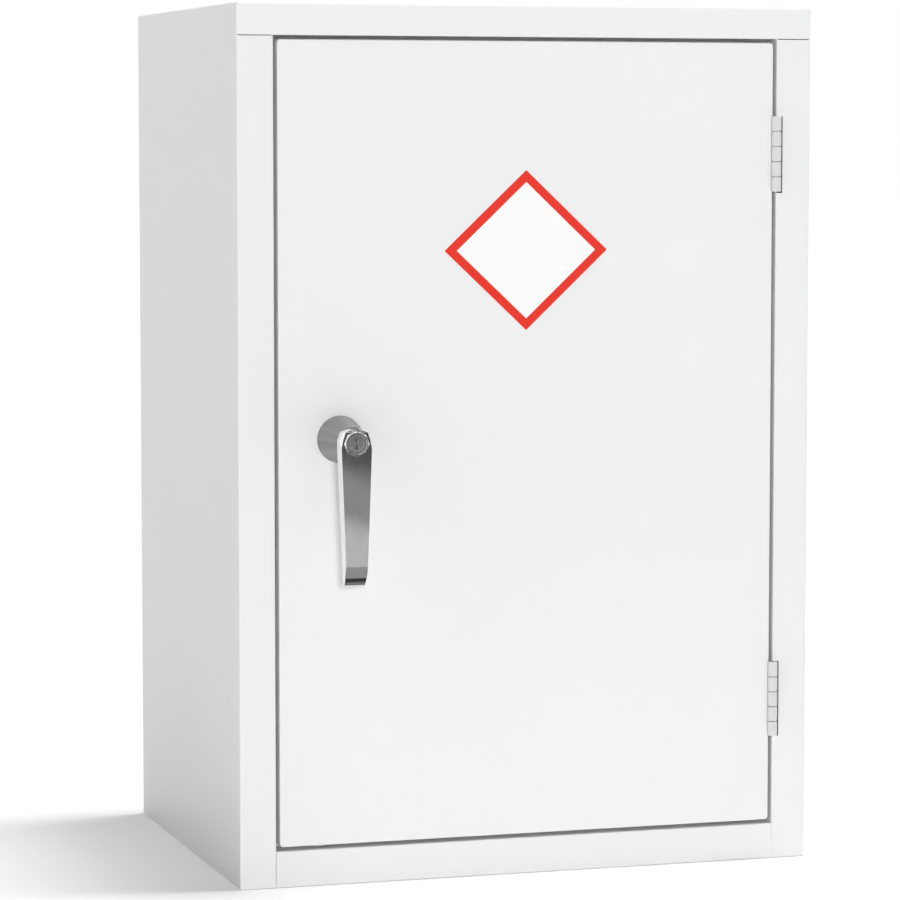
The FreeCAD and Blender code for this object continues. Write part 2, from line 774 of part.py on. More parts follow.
def handle_spindle():
    """Round neck in the rose, square bar through the linkage and a threaded stud."""
    neck = rod_along("y", "neck_radius", "-(lever_back)", "neck_end")
    bar = square_block("spindle_square / 2", "neck_end", "tongue_back")
    stud = rod_along("y", "stud_radius", "tongue_back",
                     "tongue_back + washer_thick + stud_nut_thick + stud_end")
    keep(at_handle(fuse([neck, bar, stud])), "handle_spindle")


def spindle_spacer():
    """Tube between the cam and the tongue."""
    tube = rod_along("y", "spacer_radius", "cam_back", "tongue_front")
    bore = rod_along("y", "spindle_square / sqrt(2) + running_fit", "cam_back - overrun",
                     "tongue_front + overrun")
    keep(at_handle(cut(tube, [bore])), "spindle_spacer")


def lock_cam():
    """Bar on the spindle whose pins drive the two rods, and the pins."""
    body = new_body("lock_cam")
    reach = "pin_throw + cam_end"
    corners = [(f"-({reach})", "-(cam_wide) / 2"), (reach, "-(cam_wide) / 2"),
               (reach, "cam_wide / 2"), (f"-({reach})", "cam_wide / 2")]
    pad(body, outline(body, "XZ", corners, "-(cam_back)"), "cam_thick")
    fillet(body, [(1, corners)], "cam_wide / 2 - cam_pin_radius")
    corner = "(spindle_square / 2 + running_fit) * sqrt(2)"
    diamond = [(f"-{corner}", "0"), ("0", f"-{corner}"), (corner, "0"), ("0", corner)]
    pocket(body, outline(body, "XZ", diamond, "-(cam_back)"), "cam_thick", forward=True)
    at_handle(body, turn=45)
    pin_end = "rod_setback + yoke_thick / 2 + yoke_side_clear"
    pins = [rod_along("y", "cam_pin_radius", "cam_back", pin_end, (f"{side} * pin_throw", "0"))
            for side in (-1, 1)]
    at_handle(group(pins, "cam_pins"), turn=45)


def lock_tongue():
    """Tongue that turns behind the stop lip."""
    body = new_body("lock_tongue")
    corners = [("-(tongue_wide) / 2", "-(tongue_wide) / 2"), ("tongue_wide / 2", "-(tongue_wide) / 2"),
               ("tongue_wide / 2", "tongue_length"), ("-(tongue_wide) / 2", "tongue_length")]
    pad(body, outline(body, "XZ", corners, "-(tongue_back)"), "tongue_thick")
    fillet(body, [(1, corners)], "tongue_round")
    half = "spindle_square / 2 + running_fit"
    hole = rectangle(body, "XZ", (f"-({half})", f"-({half})"), (half, half), "-(tongue_back)")
    pocket(body, hole, "tongue_thick", forward=True)
    at_handle(body)


def tongue_washer():
    """Washer between the tongue and its nut."""
    disc = rod_along("y", "washer_radius", "tongue_back", "tongue_back + washer_thick")
    hole = rod_along("y", "stud_radius + running_fit", "tongue_back - overrun",
                     "tongue_back + washer_thick + overrun")
    keep(at_handle(cut(disc, [hole])), "tongue_washer")


def lock_rod(name, turn, reach):
    """Rod with a forked yoke round its cam pin; turned half round it becomes the lower rod."""
    body = new_body(name)
    low = "-(rod_rest)"
    jaw = "slot_half + yoke_jaw"
    fork = [
        ("yoke_inner", f"{low} - ({jaw})"),
        ("yoke_outer", f"{low} - ({jaw})"),
        ("yoke_outer", f"{low} + {jaw}"),
        ("yoke_inner", f"{low} + {jaw}"),
        ("yoke_inner", f"{low} + slot_half"),
        ("yoke_slot_end", f"{low} + slot_half"),
        ("yoke_slot_end", f"{low} - slot_half"),
        ("yoke_inner", f"{low} - slot_half"),
    ]
    pad(body, outline(body, "XZ", fork), "yoke_thick", middle=True)
    start = f"{low} + slot_half + rod_root"
    shaft = circles(body, "XY", [("pin_throw", "0")], "rod_radius", start)
    pad(body, shaft, f"({reach}) - ({start})")
    top = value(reach)
    rims = [f"Edge{number}" for number, edge in enumerate(body.Tip.Shape.Edges, start=1)
            if isinstance(edge.Curve, Part.Circle) and abs(edge.BoundBox.ZMin - top) < TOLERANCE]
    shaft_pad = body.Tip
    chamfer = body.newObject("PartDesign::Chamfer", "chamfer")
    chamfer.Base = (shaft_pad, rims)
    chamfer.setExpression("Size", expression("rod_tip_chamfer"))
    doc.recompute()
    at_handle(body, turn=turn, setback="rod_setback")


def rod_guide(name, side, level):
    """Block on the inside of the door with a bore for a rod."""
    middle = f"handle_x + {side} * pin_throw"
    back = "rod_y + rod_radius + guide_wall"
    block = box((f"{middle} - guide_wide / 2", "door_inside", f"{level} - guide_tall / 2"),
                (f"{middle} + guide_wide / 2", back, f"{level} + guide_tall / 2"))
    bore = rod_along("z", "rod_radius + rod_clear", f"{level} - guide_tall", f"{level} + guide_tall",
                     (middle, "rod_y"))
    keep(cut(block, [bore]), name)


def check_and_export():
    """Stops on any failed object or faulty shape, then writes one file for each sub-part."""
    doc.recompute()
    for thing in doc.Objects:
        if {"Invalid", "Error"} & set(thing.State):
            raise RuntimeError(f"{thing.Label} failed: {thing.State}")
    for node in nodes:
        if node.Shape.isNull() or not node.Shape.isValid() or not node.Shape.Solids:
            raise RuntimeError(f"{node.Label} has a faulty shape")
    os.makedirs("parts", exist_ok=True)
    for node in nodes:
        node.Shape.exportStep(f"parts/{node.Label}.step")
        print(node.Label, len(node.Shape.Solids), round(node.Shape.Volume, 1))


fill_sheet()
side_panel("left_side_panel", -1)
side_panel("right_side_panel", 1)
top_panel()
base_panel()
back_panel()
for side_name, side in (("left", -1), ("right", 1)):
    for end_name, end in (("front", -1), ("back", 1)):
        shelf_strip(f"shelf_strip_{side_name}_{end_name}", side, end)
shelf_clips()
shelf()
spill_tray()
door_skin()
door_stiffener()
door_label()
door_buffers()
butt_hinge("upper", "hinge_upper")
butt_hinge("lower", "hinge_lower")
handle_rose()
hex_nut("shank_nut", "shank_nut_wide", "shank_nut_thick", "shank_radius + running_fit", "gauge")
handle_lever()
lock_cylinder()
lock_plug()
handle_spindle()
spindle_spacer()
lock_cam()
lock_tongue()
tongue_washer()
hex_nut("tongue_nut", "stud_nut_wide", "stud_nut_thick", "stud_radius + running_fit",
        "tongue_back + washer_thick")
lock_rod("top_rod", 0, "door_high - rod_tip_inset - handle_height")
lock_rod("bottom_rod", 180, "handle_height - door_low - rod_tip_inset")
rod_guide("top_rod_guide", 1, "door_high - guide_inset")
rod_guide("bottom_rod_guide", -1, "door_low + guide_inset")
check_and_export()
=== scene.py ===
import json
import math

import bmesh
import bpy
import numpy as np
from bpy.props import FloatProperty, FloatVectorProperty, IntProperty, PointerProperty
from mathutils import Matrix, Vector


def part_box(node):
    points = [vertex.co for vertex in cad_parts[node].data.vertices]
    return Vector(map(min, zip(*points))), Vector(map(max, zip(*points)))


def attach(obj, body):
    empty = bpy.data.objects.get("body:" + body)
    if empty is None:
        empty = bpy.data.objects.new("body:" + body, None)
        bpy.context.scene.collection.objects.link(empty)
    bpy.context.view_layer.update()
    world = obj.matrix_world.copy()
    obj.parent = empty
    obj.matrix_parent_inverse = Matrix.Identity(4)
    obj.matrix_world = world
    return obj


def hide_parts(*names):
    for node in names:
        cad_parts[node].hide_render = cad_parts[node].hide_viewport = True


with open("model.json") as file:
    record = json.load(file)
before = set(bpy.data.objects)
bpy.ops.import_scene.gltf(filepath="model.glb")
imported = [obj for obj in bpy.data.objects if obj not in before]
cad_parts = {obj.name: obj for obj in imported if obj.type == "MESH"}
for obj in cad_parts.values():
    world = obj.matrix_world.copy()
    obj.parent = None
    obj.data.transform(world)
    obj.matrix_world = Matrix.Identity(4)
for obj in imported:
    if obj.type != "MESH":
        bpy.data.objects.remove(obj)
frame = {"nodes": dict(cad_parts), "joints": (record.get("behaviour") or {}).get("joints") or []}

bl_info = {
    "name": "Steel Storage Cabinet",
    "version": (1, 0, 0),
    "blender": (4, 5, 0),
    "location": "View3D > Sidebar > Cabinet",
    "description": "Builds the visible pieces of a steel storage cabinet round its CAD frame",
    "category": "Add Mesh",
}

MM = 0.001
QUARTER = math.pi / 2
JOINTS = {joint["name"]: joint for joint in frame["joints"]}
HINGE_AXIS = JOINTS["door_swing"]["pos_m"]
HANDLE_AXIS = JOINTS["handle_turn"]["pos_m"]
WALL_LOW, WALL_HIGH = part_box("right_side_panel")
TOP_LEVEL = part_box("top_panel")[1].z
DOOR_LOW, DOOR_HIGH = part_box("door_skin")
ARC_STEPS = 8
OVERRUN = 5 * MM
WORLD_LIGHT = 0.17
FLOOR_GLOW = 0.185
PHOTO_PIXELS = 900
FOCAL_PIXELS = 3710.4
LEVER_FRONT = -230 * MM


def length(name, description, millimetres):
    """Size property. It holds metres, and its default is given in millimetres."""
    return FloatProperty(name=name, description=description, unit="LENGTH",
                         default=millimetres * MM)


def colour(name, description, default):
    """Colour property without alpha."""
    return FloatVectorProperty(name=name, description=description, default=default, size=3,
                               subtype="COLOR", min=0, max=1)


class CabinetSheetSizes(bpy.types.PropertyGroup):
    """Sizes of the folded sheets of the carcass, the door, the shelf and the tray."""

    gauge: length("Gauge", "Thickness of the sheet", 1.2)
    bend: length("Bend", "Outer radius of the carcass's outside bends", WALL_LOW.z / MM)
    crease: length("Crease", "Outer radius of the tight folds", 1.5)
    inner_crease: length("Inner crease", "Inner radius of the tight folds", 0.3)
    cut_edge: length("Cut edge", "Rounding that the coat gives a cut edge", 0.35)
    seam_round: length("Seam rounding", "Rise of the top rail's rounded lower edge", 2)
    seam_width: length("Seam width", "Height of the groove between stile and top rail", 0.55)
    seam_depth: length("Seam depth", "Depth of the groove between stile and top rail", 1.6)
    stile: length("Stile", "Width of the frame beside the door", 30)
    top_rail: length("Top rail", "Height of the frame over the door", 26)
    bottom_rail: length("Bottom rail", "Height of the frame under the door", 30)
    stop_lip: length("Stop lip", "Width of the lip that the door closes against", 12)
    back_flange: length("Back flange", "Width of the flange behind each side wall", 15)
    stop_setback: length("Stop setback", "From the door's back to the stop lips", 2.3)
    door_corner: length("Door corner", "Radius of the door's corners", 3)
    door_fold: length("Door fold", "Outer radius of the fold at the door's back edge", 1)
    door_lip: length("Door lip", "Width of the lips folded in behind the door", 12)
    tray_corner: length("Tray corner", "Outer radius of the tray's corners", 5)
    rod_hole: length("Rod hole", "Radius of the holes in the rails", 5)
    edge_hole: length("Edge hole", "Radius of the rod holes in the door's edges", 4.3)
    rod_offset: length("Rod offset", "From the handle's axis to each rod", 14)


class CabinetFittingSizes(bpy.types.PropertyGroup):
    """Sizes of the hinges, the handle, the lock, the label and the buffers."""

    knuckle: length("Knuckle", "Radius of a hinge barrel", 4)
    hinge_notch: length("Hinge notch", "Room cut in the stile beside a hinge's barrel", 3.1)
    knuckle_gap: length("Knuckle gap", "Gap between two knuckles", 0.6)
    knuckle_round: length("Knuckle rounding", "Rounding of a knuckle's ends", 0.5)
    knuckles: IntProperty(name="Knuckles", description="Number of knuckles of a hinge", default=5)
    leaf_inner: length("Leaf inner face", "From the hinge's axis to a leaf's inner face", 0.3)
    leaf_outer: length("Leaf outer face", "From the hinge's axis to a leaf's outer face", 1.6)
    rose_base: length("Rose base", "Radius of the rose on the door", 19.2)
    rose_top: length("Rose top", "Radius of the rose under the lever", 13)
    lever_round: length("Lever rounding", "Rounding of the lever's long edges", 0.8)
    head_chamfer: length("Head chamfer", "Chamfer round the lever's head", 2.2)
    lever_crown: length("Lever crown", "Rise of the lever's face in its middle", 0.5)
    label_border: length("Label border", "Width of the label's coloured border", 7)


class CabinetColours(bpy.types.PropertyGroup):
    """Colours of the finishes."""

    coat: colour("Coat", "Powder coat of the sheets", (0.87, 0.876, 0.874))
    hinge_paint: colour("Hinge paint", "Paint of the hinges", (0.71, 0.71, 0.72))
    label_red: colour("Label border", "Border of the label", (0.83, 0.026, 0.010))
    label_white: colour("Label field", "Field of the label", (0.97, 0.97, 0.96))
    chrome: colour("Chrome", "Polished lever and lock rim", (0.90, 0.90, 0.90))
    nickel: colour("Nickel", "Satin face of the rose", (0.31, 0.31, 0.31))
    plug: colour("Plug", "Satin face of the lock's plug", (0.40, 0.40, 0.40))
    zinc: colour("Zinc", "Plated steel of the linkage", (0.60, 0.60, 0.58))
    nylon: colour("Nylon", "Moulded rod guides", (0.03, 0.03, 0.032))
    rubber: colour("Rubber", "Door buffers", (0.05, 0.05, 0.05))


def rounded_line(points, radii, closed=False):
    """Line through corners, each turned by an arc that touches both runs.

    A corner's arc has its centre on the inner side, one radius from both runs, so it starts
    radius times the tangent of half the turn before the corner. Its points are the centre less the
    starting normal, turned evenly from nothing to the whole turn. Radius 0 repeats the corner."""
    points = np.asarray(points, float)
    radii = np.asarray(radii, float)
    if not closed:
        inner = rounded_line(points, np.r_[0, radii, 0], closed=True).reshape(len(points), -1, 2)
        return np.concatenate([points[:1], inner[1:-1].reshape(-1, 2), points[-1:]])
    before = points - np.roll(points, 1, 0)
    after = np.roll(before, -1, 0)
    before = before / np.linalg.norm(before, axis=1, keepdims=True)
    after = after / np.linalg.norm(after, axis=1, keepdims=True)
    cross = before[:, 0] * after[:, 1] - before[:, 1] * after[:, 0]
    turn = np.arctan2(cross, (before * after).sum(1))
    reach = np.where(radii > 0, radii * np.abs(np.tan(turn / 2)), 0)
    reach_side = (radii * np.sign(turn))[:, None]
    normal = np.stack([-before[:, 1], before[:, 0]], 1)
    centre = points - before * reach[:, None] + reach_side * normal
    angle = turn[:, None] * np.linspace(0, 1, ARC_STEPS + 1)
    turned = np.stack([
        normal[:, :1] * np.cos(angle) - normal[:, 1:] * np.sin(angle),
        normal[:, :1] * np.sin(angle) + normal[:, 1:] * np.cos(angle),
    ], 2)
    return (centre[:, None] - reach_side[:, None] * turned).reshape(-1, 2)


def folded(rows):
    """Closed outline of rows that hold a corner's two coordinates and its radius."""
    rows = np.array(rows)
    return rounded_line(rows[:, :2], rows[:, 2], closed=True)


def skin(grid, wrap=True, caps=True):
    """Points and faces of a grid of rings.

    A quad joins points k and k + 1 of one ring to those of the next, and each end ring is closed
    by one face. Without wrap, a ring's last point isn't joined to its first."""
    rings, count = grid.shape[:2]
    numbers = np.arange(rings * count).reshape(rings, count)
    following = np.roll(numbers, -1, 1)
    quads = np.stack([numbers[:-1], following[:-1], following[1:], numbers[1:]], 2)
    if not wrap:
        quads = quads[:, :-1]
    faces = quads.reshape(-1, 4).tolist()
    if caps:
        faces += [numbers[0, ::-1].tolist(), numbers[-1].tolist()]
    return grid.reshape(-1, 3), faces


def others(axis):
    """The two axes beside one."""
    return [other for other in range(3) if other != axis]


def prism(outline, axis, low, high):
    """Closed prism: an outline in the two other axes, carried straight along one axis."""
    grid = np.empty((2, len(outline), 3))
    grid[..., others(axis)] = outline
    grid[..., axis] = [[low], [high]]
    return skin(grid)


def block(low, high):
    """Plain block, used only to cut with."""
    corners = np.array([(low[0], low[1]), (high[0], low[1]), (high[0], high[1]), (low[0], high[1])])
    return prism(corners, 2, low[2], high[2])


def lathe(profile, centre, axis, count=96, shape=1, caps=True):
    """Solid of revolution about an axis through centre.

    The profile's pairs are distance from the axis and place along it. Ring j has count points at
    even angles: centre plus distance times shape times cosine and sine in the two other axes. A
    pair at distance 0 closes the end in a pole."""
    profile = np.asarray(profile, float)
    angle = np.linspace(0, math.tau, count, endpoint=False)
    grid = np.empty((len(profile), count, 3))
    distance = (profile[:, :1] * shape)[..., None]
    grid[..., others(axis)] = distance * np.stack([np.cos(angle), np.sin(angle)], 1)
    grid[..., axis] = profile[:, 1:]
    return skin(grid + np.asarray(centre, float), caps=caps)


def ring_path():
    """Corner signs and outward directions of the points round a rectangle.

    Each corner has an even quarter turn of points, corner by corner, from the +x side on."""
    angle = np.arange(4)[:, None] * QUARTER + np.linspace(0, QUARTER, ARC_STEPS + 1)
    direction = np.stack([np.cos(angle), np.sin(angle)], 2)
    middle = np.arange(4) * QUARTER + QUARTER / 2
    sign = np.sign(np.stack([np.cos(middle), np.sin(middle)], 1))[:, None] * np.ones_like(direction)
    return sign.reshape(-1, 2), direction.reshape(-1, 2)


def pan(low, high, corner, section, level_axis, path=None):
    """Sheet pan: a section carried round a rectangle with rounded corners.

    The section's pairs are inset from the rectangle and level. At inset d, a corner's arc has
    radius corner minus d, but never under 0, about a centre that is the larger of corner and d
    inside both sides. A section may differ from point to point of the path."""
    sign, direction = path or ring_path()
    section = np.asarray(section, float)
    if section.ndim == 2:
        section = section[:, None]
    inset, level = section[..., :1], section[..., 1]
    place = np.where(sign > 0, high, low) - sign * np.maximum(corner, inset)
    place = place + np.maximum(corner - inset, 0) * direction
    grid = np.empty(place.shape[:2] + (3,))
    grid[..., others(level_axis)] = place
    grid[..., level_axis] = level
    return skin(grid)


def clean(mesh, shells):
    """Fills a mesh with closed shells, each merged and turned outwards by itself."""
    whole = bmesh.new()
    part = bpy.data.meshes.new("part")
    for shell in shells:
        points, faces = shell[:2]
        part.clear_geometry()
        part.from_pydata(points, [], faces)
        single = bmesh.new()
        single.from_mesh(part)
        bmesh.ops.remove_doubles(single, verts=single.verts, dist=1e-6)
        bmesh.ops.dissolve_degenerate(single, edges=single.edges, dist=1e-6)
        bmesh.ops.recalc_face_normals(single, faces=single.faces)
        for face in single.faces:
            face.material_index = shell[2] if len(shell) > 2 else 0
        single.to_mesh(part)
        single.free()
        whole.from_mesh(part)
    whole.to_mesh(mesh)
    whole.free()
    bpy.data.meshes.remove(part)


def new_object(name, data):
    """Object that is linked to the scene."""
    thing = bpy.data.objects.new(name, data)
    bpy.context.scene.collection.objects.link(thing)
    return thing


def carve(thing, cutters):
    """Takes the room of the cutters out of an object's mesh for good."""
    held = []
    for number, cutter in enumerate(cutters):
        mesh = bpy.data.meshes.new(f"cutter_{number}")
        clean(mesh, [cutter])
        modifier = thing.modifiers.new(mesh.name, "BOOLEAN")
        modifier.operation = "DIFFERENCE"
        modifier.solver = "EXACT"
        modifier.object = new_object(mesh.name, mesh)
        held.append(mesh)
    bpy.context.view_layer.update()
    depsgraph = bpy.context.evaluated_depsgraph_get()
    carved = bpy.data.meshes.new_from_object(thing.evaluated_get(depsgraph))
    thing.modifiers.clear()
    held.append(thing.data)
    name = thing.data.name
    thing.data = carved
    for mesh in held:
        bpy.data.meshes.remove(mesh)
    carved.name = name


def add_piece(name, shells, body, nodes, materials, cutters=(), sharp=30):
    """Object of closed shells that rides on a body and stands for CAD nodes.

    It is smooth but for edges that turn more sharply than the angle in degrees."""
    mesh = bpy.data.meshes.new(name)
    clean(mesh, shells)
    for material in materials:
        mesh.materials.append(material)
    thing = new_object(name, mesh)
    if cutters:
        carve(thing, cutters)
    if not thing.data.polygons:
        raise RuntimeError(f"{name} came out empty")
    thing.data.polygons.foreach_set("use_smooth", np.ones(len(thing.data.polygons), bool))
    thing.data.set_sharp_from_angle(angle=math.radians(sharp))
    flats = thing.modifiers.new("true_flats", "WEIGHTED_NORMAL")
    flats.keep_sharp = True
    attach(thing, body)
    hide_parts(*nodes)


def finish_nodes(names, material):
    """Gives CAD nodes a finish."""
    for name in names:
        for slot in frame["nodes"][name].material_slots:
            slot.material = material


def add_node(tree, kind, inputs=None, **settings):
    """Node with its settings. An input is a value or the output that feeds it."""
    node = tree.nodes.new(kind)
    for name, value in settings.items():
        setattr(node, name, value)
    for name, value in (inputs or {}).items():
        if isinstance(value, bpy.types.NodeSocket):
            tree.links.new(value, node.inputs[name])
        else:
            node.inputs[name].default_value = value
    return node


class Finish:
    """Material of the cabinet, with its shader and the nodes that feed it."""

    def __init__(self, name, colour, roughness, metallic=0.0, specular=0.5):
        self.material = bpy.data.materials.new(name)
        self.material.use_nodes = True
        self.tree = self.material.node_tree
        self.shader = self.tree.nodes["Principled BSDF"]
        self.colour = tuple(colour) + (1.0,)
        self.shader.inputs["Base Color"].default_value = self.colour
        self.shader.inputs["Roughness"].default_value = roughness
        self.shader.inputs["Metallic"].default_value = metallic
        self.shader.inputs["Specular IOR Level"].default_value = specular
        self.place = self.add("ShaderNodeTexCoord", "Object")

    def add(self, kind, output, inputs=None, **settings):
        """Output of a new node in this material."""
        return add_node(self.tree, kind, inputs, **settings).outputs[output]

    def done(self, roughness, normal, colour=None):
        """Feeds the shader's roughness, normal and colour, and hands out the material."""
        fed = {"Roughness": roughness, "Normal": normal, "Base Color": colour}
        for socket, output in fed.items():
            if output:
                self.tree.links.new(output, self.shader.inputs[socket])
        return self.material

    def noise(self, scale, detail, place=None):
        """Noise from 0 to 1, with scale lumps to the metre."""
        inputs = {"Vector": place or self.place, "Scale": scale, "Detail": detail}
        return self.add("ShaderNodeTexNoise", "Fac", inputs)

    def spread(self, value, low, high, start=0.0, end=1.0):
        """Value from start to end, spread over low to high."""
        return self.add("ShaderNodeMapRange", "Result", {
            "Value": value, "From Min": start, "From Max": end, "To Min": low, "To Max": high})

    def blend(self, factor, first, second):
        """Mix of two colours; sockets 6, 7 and 2 are the mix node's colours and its result."""
        inputs = {"Factor": factor, 6: first, 7: second}
        return self.add("ShaderNodeMix", 2, inputs, data_type="RGBA")

    def shade(self, share):
        """The finish's own colour, darker or lighter by a share."""
        return (*(min(part * share, 1.0) for part in self.colour[:3]), 1.0)

    def bump(self, height, strength, distance, base=None):
        """Normal of a height, on top of another bump's normal."""
        inputs = {"Height": height, "Strength": strength, "Distance": distance}
        if base:
            inputs["Normal"] = base
        return self.add("ShaderNodeBump", "Normal", inputs)


def powder_coat(name, colour):
    """Fine orange-peel coat: two sizes of lumps in the bump, slow tone changes, rubbed edges."""
    finish = Finish(name, colour, 0.42, specular=0.45)
    tone = finish.spread(finish.noise(5, 3), 0.0, 1.0, 0.3, 0.7)
    body = finish.blend(tone, finish.shade(0.992), finish.shade(1.006))
    pointiness = finish.add("ShaderNodeNewGeometry", "Pointiness")
    rubbed = finish.spread(pointiness, 0.0, 1.0, 0.53, 0.6)
    peel = finish.noise(420, 2)
    lumps = finish.bump(peel, 0.10, 0.0004)
    return finish.done(finish.spread(peel, 0.36, 0.50, 0.3, 0.7),
                       finish.bump(finish.noise(1900, 1), 0.06, 0.0001, lumps),
                       finish.blend(rubbed, body, finish.shade(0.985)))


def label_print(name, colour):
    """Printed vinyl: a faint weave of tone and a slightly uneven gloss."""
    finish = Finish(name, colour, 0.38, specular=0.4)
    return finish.done(finish.spread(finish.noise(60, 3), 0.32, 0.46),
                       finish.bump(finish.noise(1400, 1), 0.05, 0.0001),
                       finish.blend(finish.noise(900, 2), finish.shade(0.985), finish.shade(1.01)))


def bright_chrome(name, colour):
    """Polished chrome with faint wiping marks along its length and a few smudges."""
    finish = Finish(name, colour, 0.07, metallic=1.0)
    stretched = finish.add("ShaderNodeMapping", "Vector", {
        "Vector": finish.place, "Scale": (900.0, 900.0, 60.0)})
    marks = {0: finish.noise(1.0, 2, stretched), 1: finish.noise(45, 3)}
    mixed = finish.add("ShaderNodeMath", 0, marks, operation="MULTIPLY")
    return finish.done(finish.spread(mixed, 0.05, 0.14, 0.1, 0.5),
                       finish.bump(finish.noise(70, 1), 0.02, 0.0005))


def satin_nickel(name, colour):
    """Satin cast nickel: fine grain in the bump, and painted highlight streaks in the colour,
    lighter and darker by angle round the axis.
    """
    finish = Finish(name, colour, 0.36, metallic=1.0)
    centred = finish.add("ShaderNodeMapping", "Vector", {
        "Vector": finish.place, "Location": tuple(-part for part in HANDLE_AXIS)})
    upright = finish.add("ShaderNodeMapping", "Vector", {
        "Vector": centred, "Rotation": (QUARTER, 0.0, 0.0)})
    turned = finish.add("ShaderNodeTexGradient", "Fac", {"Vector": upright}, gradient_type="RADIAL")
    # Painted highlight streaks: the colour turns lighter and darker by angle round the axis.
    painted_highlight_streaks = finish.add("ShaderNodeTexNoise", "Fac", {"W": turned, "Scale": 17.0, "Detail": 3.0},
                         noise_dimensions="1D")
    grain = finish.noise(2600, 2)
    return finish.done(finish.spread(grain, 0.28, 0.5, 0.3, 0.7),
                       finish.bump(grain, 0.12, 0.0001),
                       finish.blend(painted_highlight_streaks, finish.shade(0.7), finish.shade(1.3)))


def zinc_plate(name, colour):
    """Zinc plate: spangled tone from cells, dull patches and fine drawing marks."""
    finish = Finish(name, colour, 0.34, metallic=1.0)
    cells = finish.add("ShaderNodeTexVoronoi", "Color", {"Vector": finish.place, "Scale": 260.0})
    grey = finish.add("ShaderNodeRGBToBW", "Val", {"Color": cells})
    tone = finish.blend(grey, finish.shade(0.86), finish.shade(1.08))
    patches = finish.spread(finish.noise(90, 3), 0.0, 0.35, 0.45, 0.75)
    return finish.done(finish.spread(finish.noise(300, 3), 0.26, 0.46),
                       finish.bump(finish.noise(1500, 2), 0.08, 0.0001),
                       finish.blend(patches, tone, (0.56, 0.54, 0.49, 1.0)))


def moulded(name, colour, roughness, lumps):
    """Moulded plastic or rubber with a sparked grain."""
    finish = Finish(name, colour, roughness, specular=0.4)
    grain = finish.noise(lumps, 3)
    return finish.done(finish.spread(grain, roughness - 0.08, roughness + 0.1),
                       finish.bump(grain, 0.2, 0.0001),
                       finish.blend(grain, finish.shade(0.8), finish.shade(1.3)))


def coat_of(context):
    """The sheets' powder coat, made once."""
    found = bpy.data.materials.get("cabinet_powder_coat")
    return found or powder_coat("cabinet_powder_coat", context.scene.cabinet_colours.coat)


def add_sheet(context, name, shell, node, cutters=(), body="carcass_body", sharp=12):
    """Piece of coated sheet."""
    add_piece(name, [shell], body, [node], [coat_of(context)], cutters, sharp)


class BuildSidePanels(bpy.types.Operator):
    """Both side walls with their stiles, returns, stop lips and back flanges"""

    bl_idname = "cabinet.side_panels"
    bl_label = "Side panels"

    def execute(self, context):
        s = context.scene.cabinet_sheets
        f = context.scene.cabinet_fittings
        half, front, back = WALL_HIGH.x, WALL_LOW.y, WALL_HIGH.y
        opening = half - s.stile
        stop = DOOR_HIGH.y + s.stop_setback
        tip = opening - s.stop_lip
        wall = half - s.gauge
        outline = folded([
            (half - s.back_flange, back, s.cut_edge), (half, back, s.bend), (half, front, s.bend),
            (opening, front, s.crease), (opening, stop, s.inner_crease), (tip, stop, s.cut_edge),
            (tip, stop + s.gauge, s.cut_edge), (opening + s.gauge, stop + s.gauge, s.crease),
            (opening + s.gauge, front + s.gauge, s.inner_crease),
            (wall, front + s.gauge, s.bend - s.gauge), (wall, back - s.gauge, s.bend - s.gauge),
            (half - s.back_flange, back - s.gauge, s.cut_edge)])
        far, near, deep = half + OVERRUN, front - OVERRUN, stop + OVERRUN
        over_door = np.array([(far, near), (far, front + s.bend), (wall, front + s.bend),
                              (wall, deep), (tip - OVERRUN, deep), (tip - OVERRUN, near)])
        opening_high = TOP_LEVEL - s.top_rail
        under_barrel = 1.2 * MM
        notches = []
        for hinge in ("upper", "lower"):
            low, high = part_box(f"{hinge}_hinge_frame_leaf")
            notches.append(block(
                (opening - OVERRUN, near, low.z - under_barrel),
                (HINGE_AXIS[0] + f.knuckle + f.hinge_notch, front + 1.5 * s.gauge, high.z)))
        for hand, name in ((-1, "left_side_panel"), (1, "right_side_panel")):
            mirror = np.array([hand, 1])
            above = prism(over_door * mirror, 2, opening_high, TOP_LEVEL + OVERRUN)
            seam = block((-far, near, opening_high - s.seam_width),
                         (far, front + s.seam_depth, opening_high + OVERRUN))
            inner, outer = sorted((hand * (tip - OVERRUN), hand * opening))
            below = block((inner, stop - OVERRUN, -OVERRUN), (outer, deep, s.bottom_rail))
            shell = prism(outline * mirror, 2, WALL_LOW.z, WALL_HIGH.z)
            add_sheet(context, name.replace("panel", "wall"), shell, name,
                      [above, seam, below, *(notches if hand > 0 else [])])
        return {"FINISHED"}


def flange_section(s, front, level, outside, lip_end):
    """Rows for folded across a rail's flange and its stop lip, in Y and Z.

    outside is +1 where the lip stands up from the flange and -1 where it hangs down."""
    stop = DOOR_HIGH.y + s.stop_setback
    inner = level - outside * s.gauge
    return [(front, level, 0), (stop, level, s.inner_crease), (stop, lip_end, s.cut_edge),
            (stop + s.gauge, lip_end, s.cut_edge), (stop + s.gauge, inner, s.crease),
            (front, inner, 0)]


def lip_ends(s, level, lip_end):
    """Blocks that shorten a rail's stop lip to the lips at its two ends."""
    stop = DOOR_HIGH.y + s.stop_setback
    tip = WALL_HIGH.x - s.stile - s.stop_lip
    low, high = sorted((level, lip_end + math.copysign(OVERRUN, lip_end - level)))
    far = WALL_HIGH.x + OVERRUN
    return [block((start, stop - OVERRUN, low), (end, stop + OVERRUN, high))
            for start, end in ((-far, -tip), (tip, far))]


def rod_cutter(s, side, radius, low, high):
    """Upright round cutter where a lock rod passes."""
    centre = (HANDLE_AXIS[0] + side * s.rod_offset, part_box("top_rod")[0].y + 4 * MM, 0)
    return lathe([(0, low), (radius, low), (radius, high), (0, high)], centre, 2, 48)


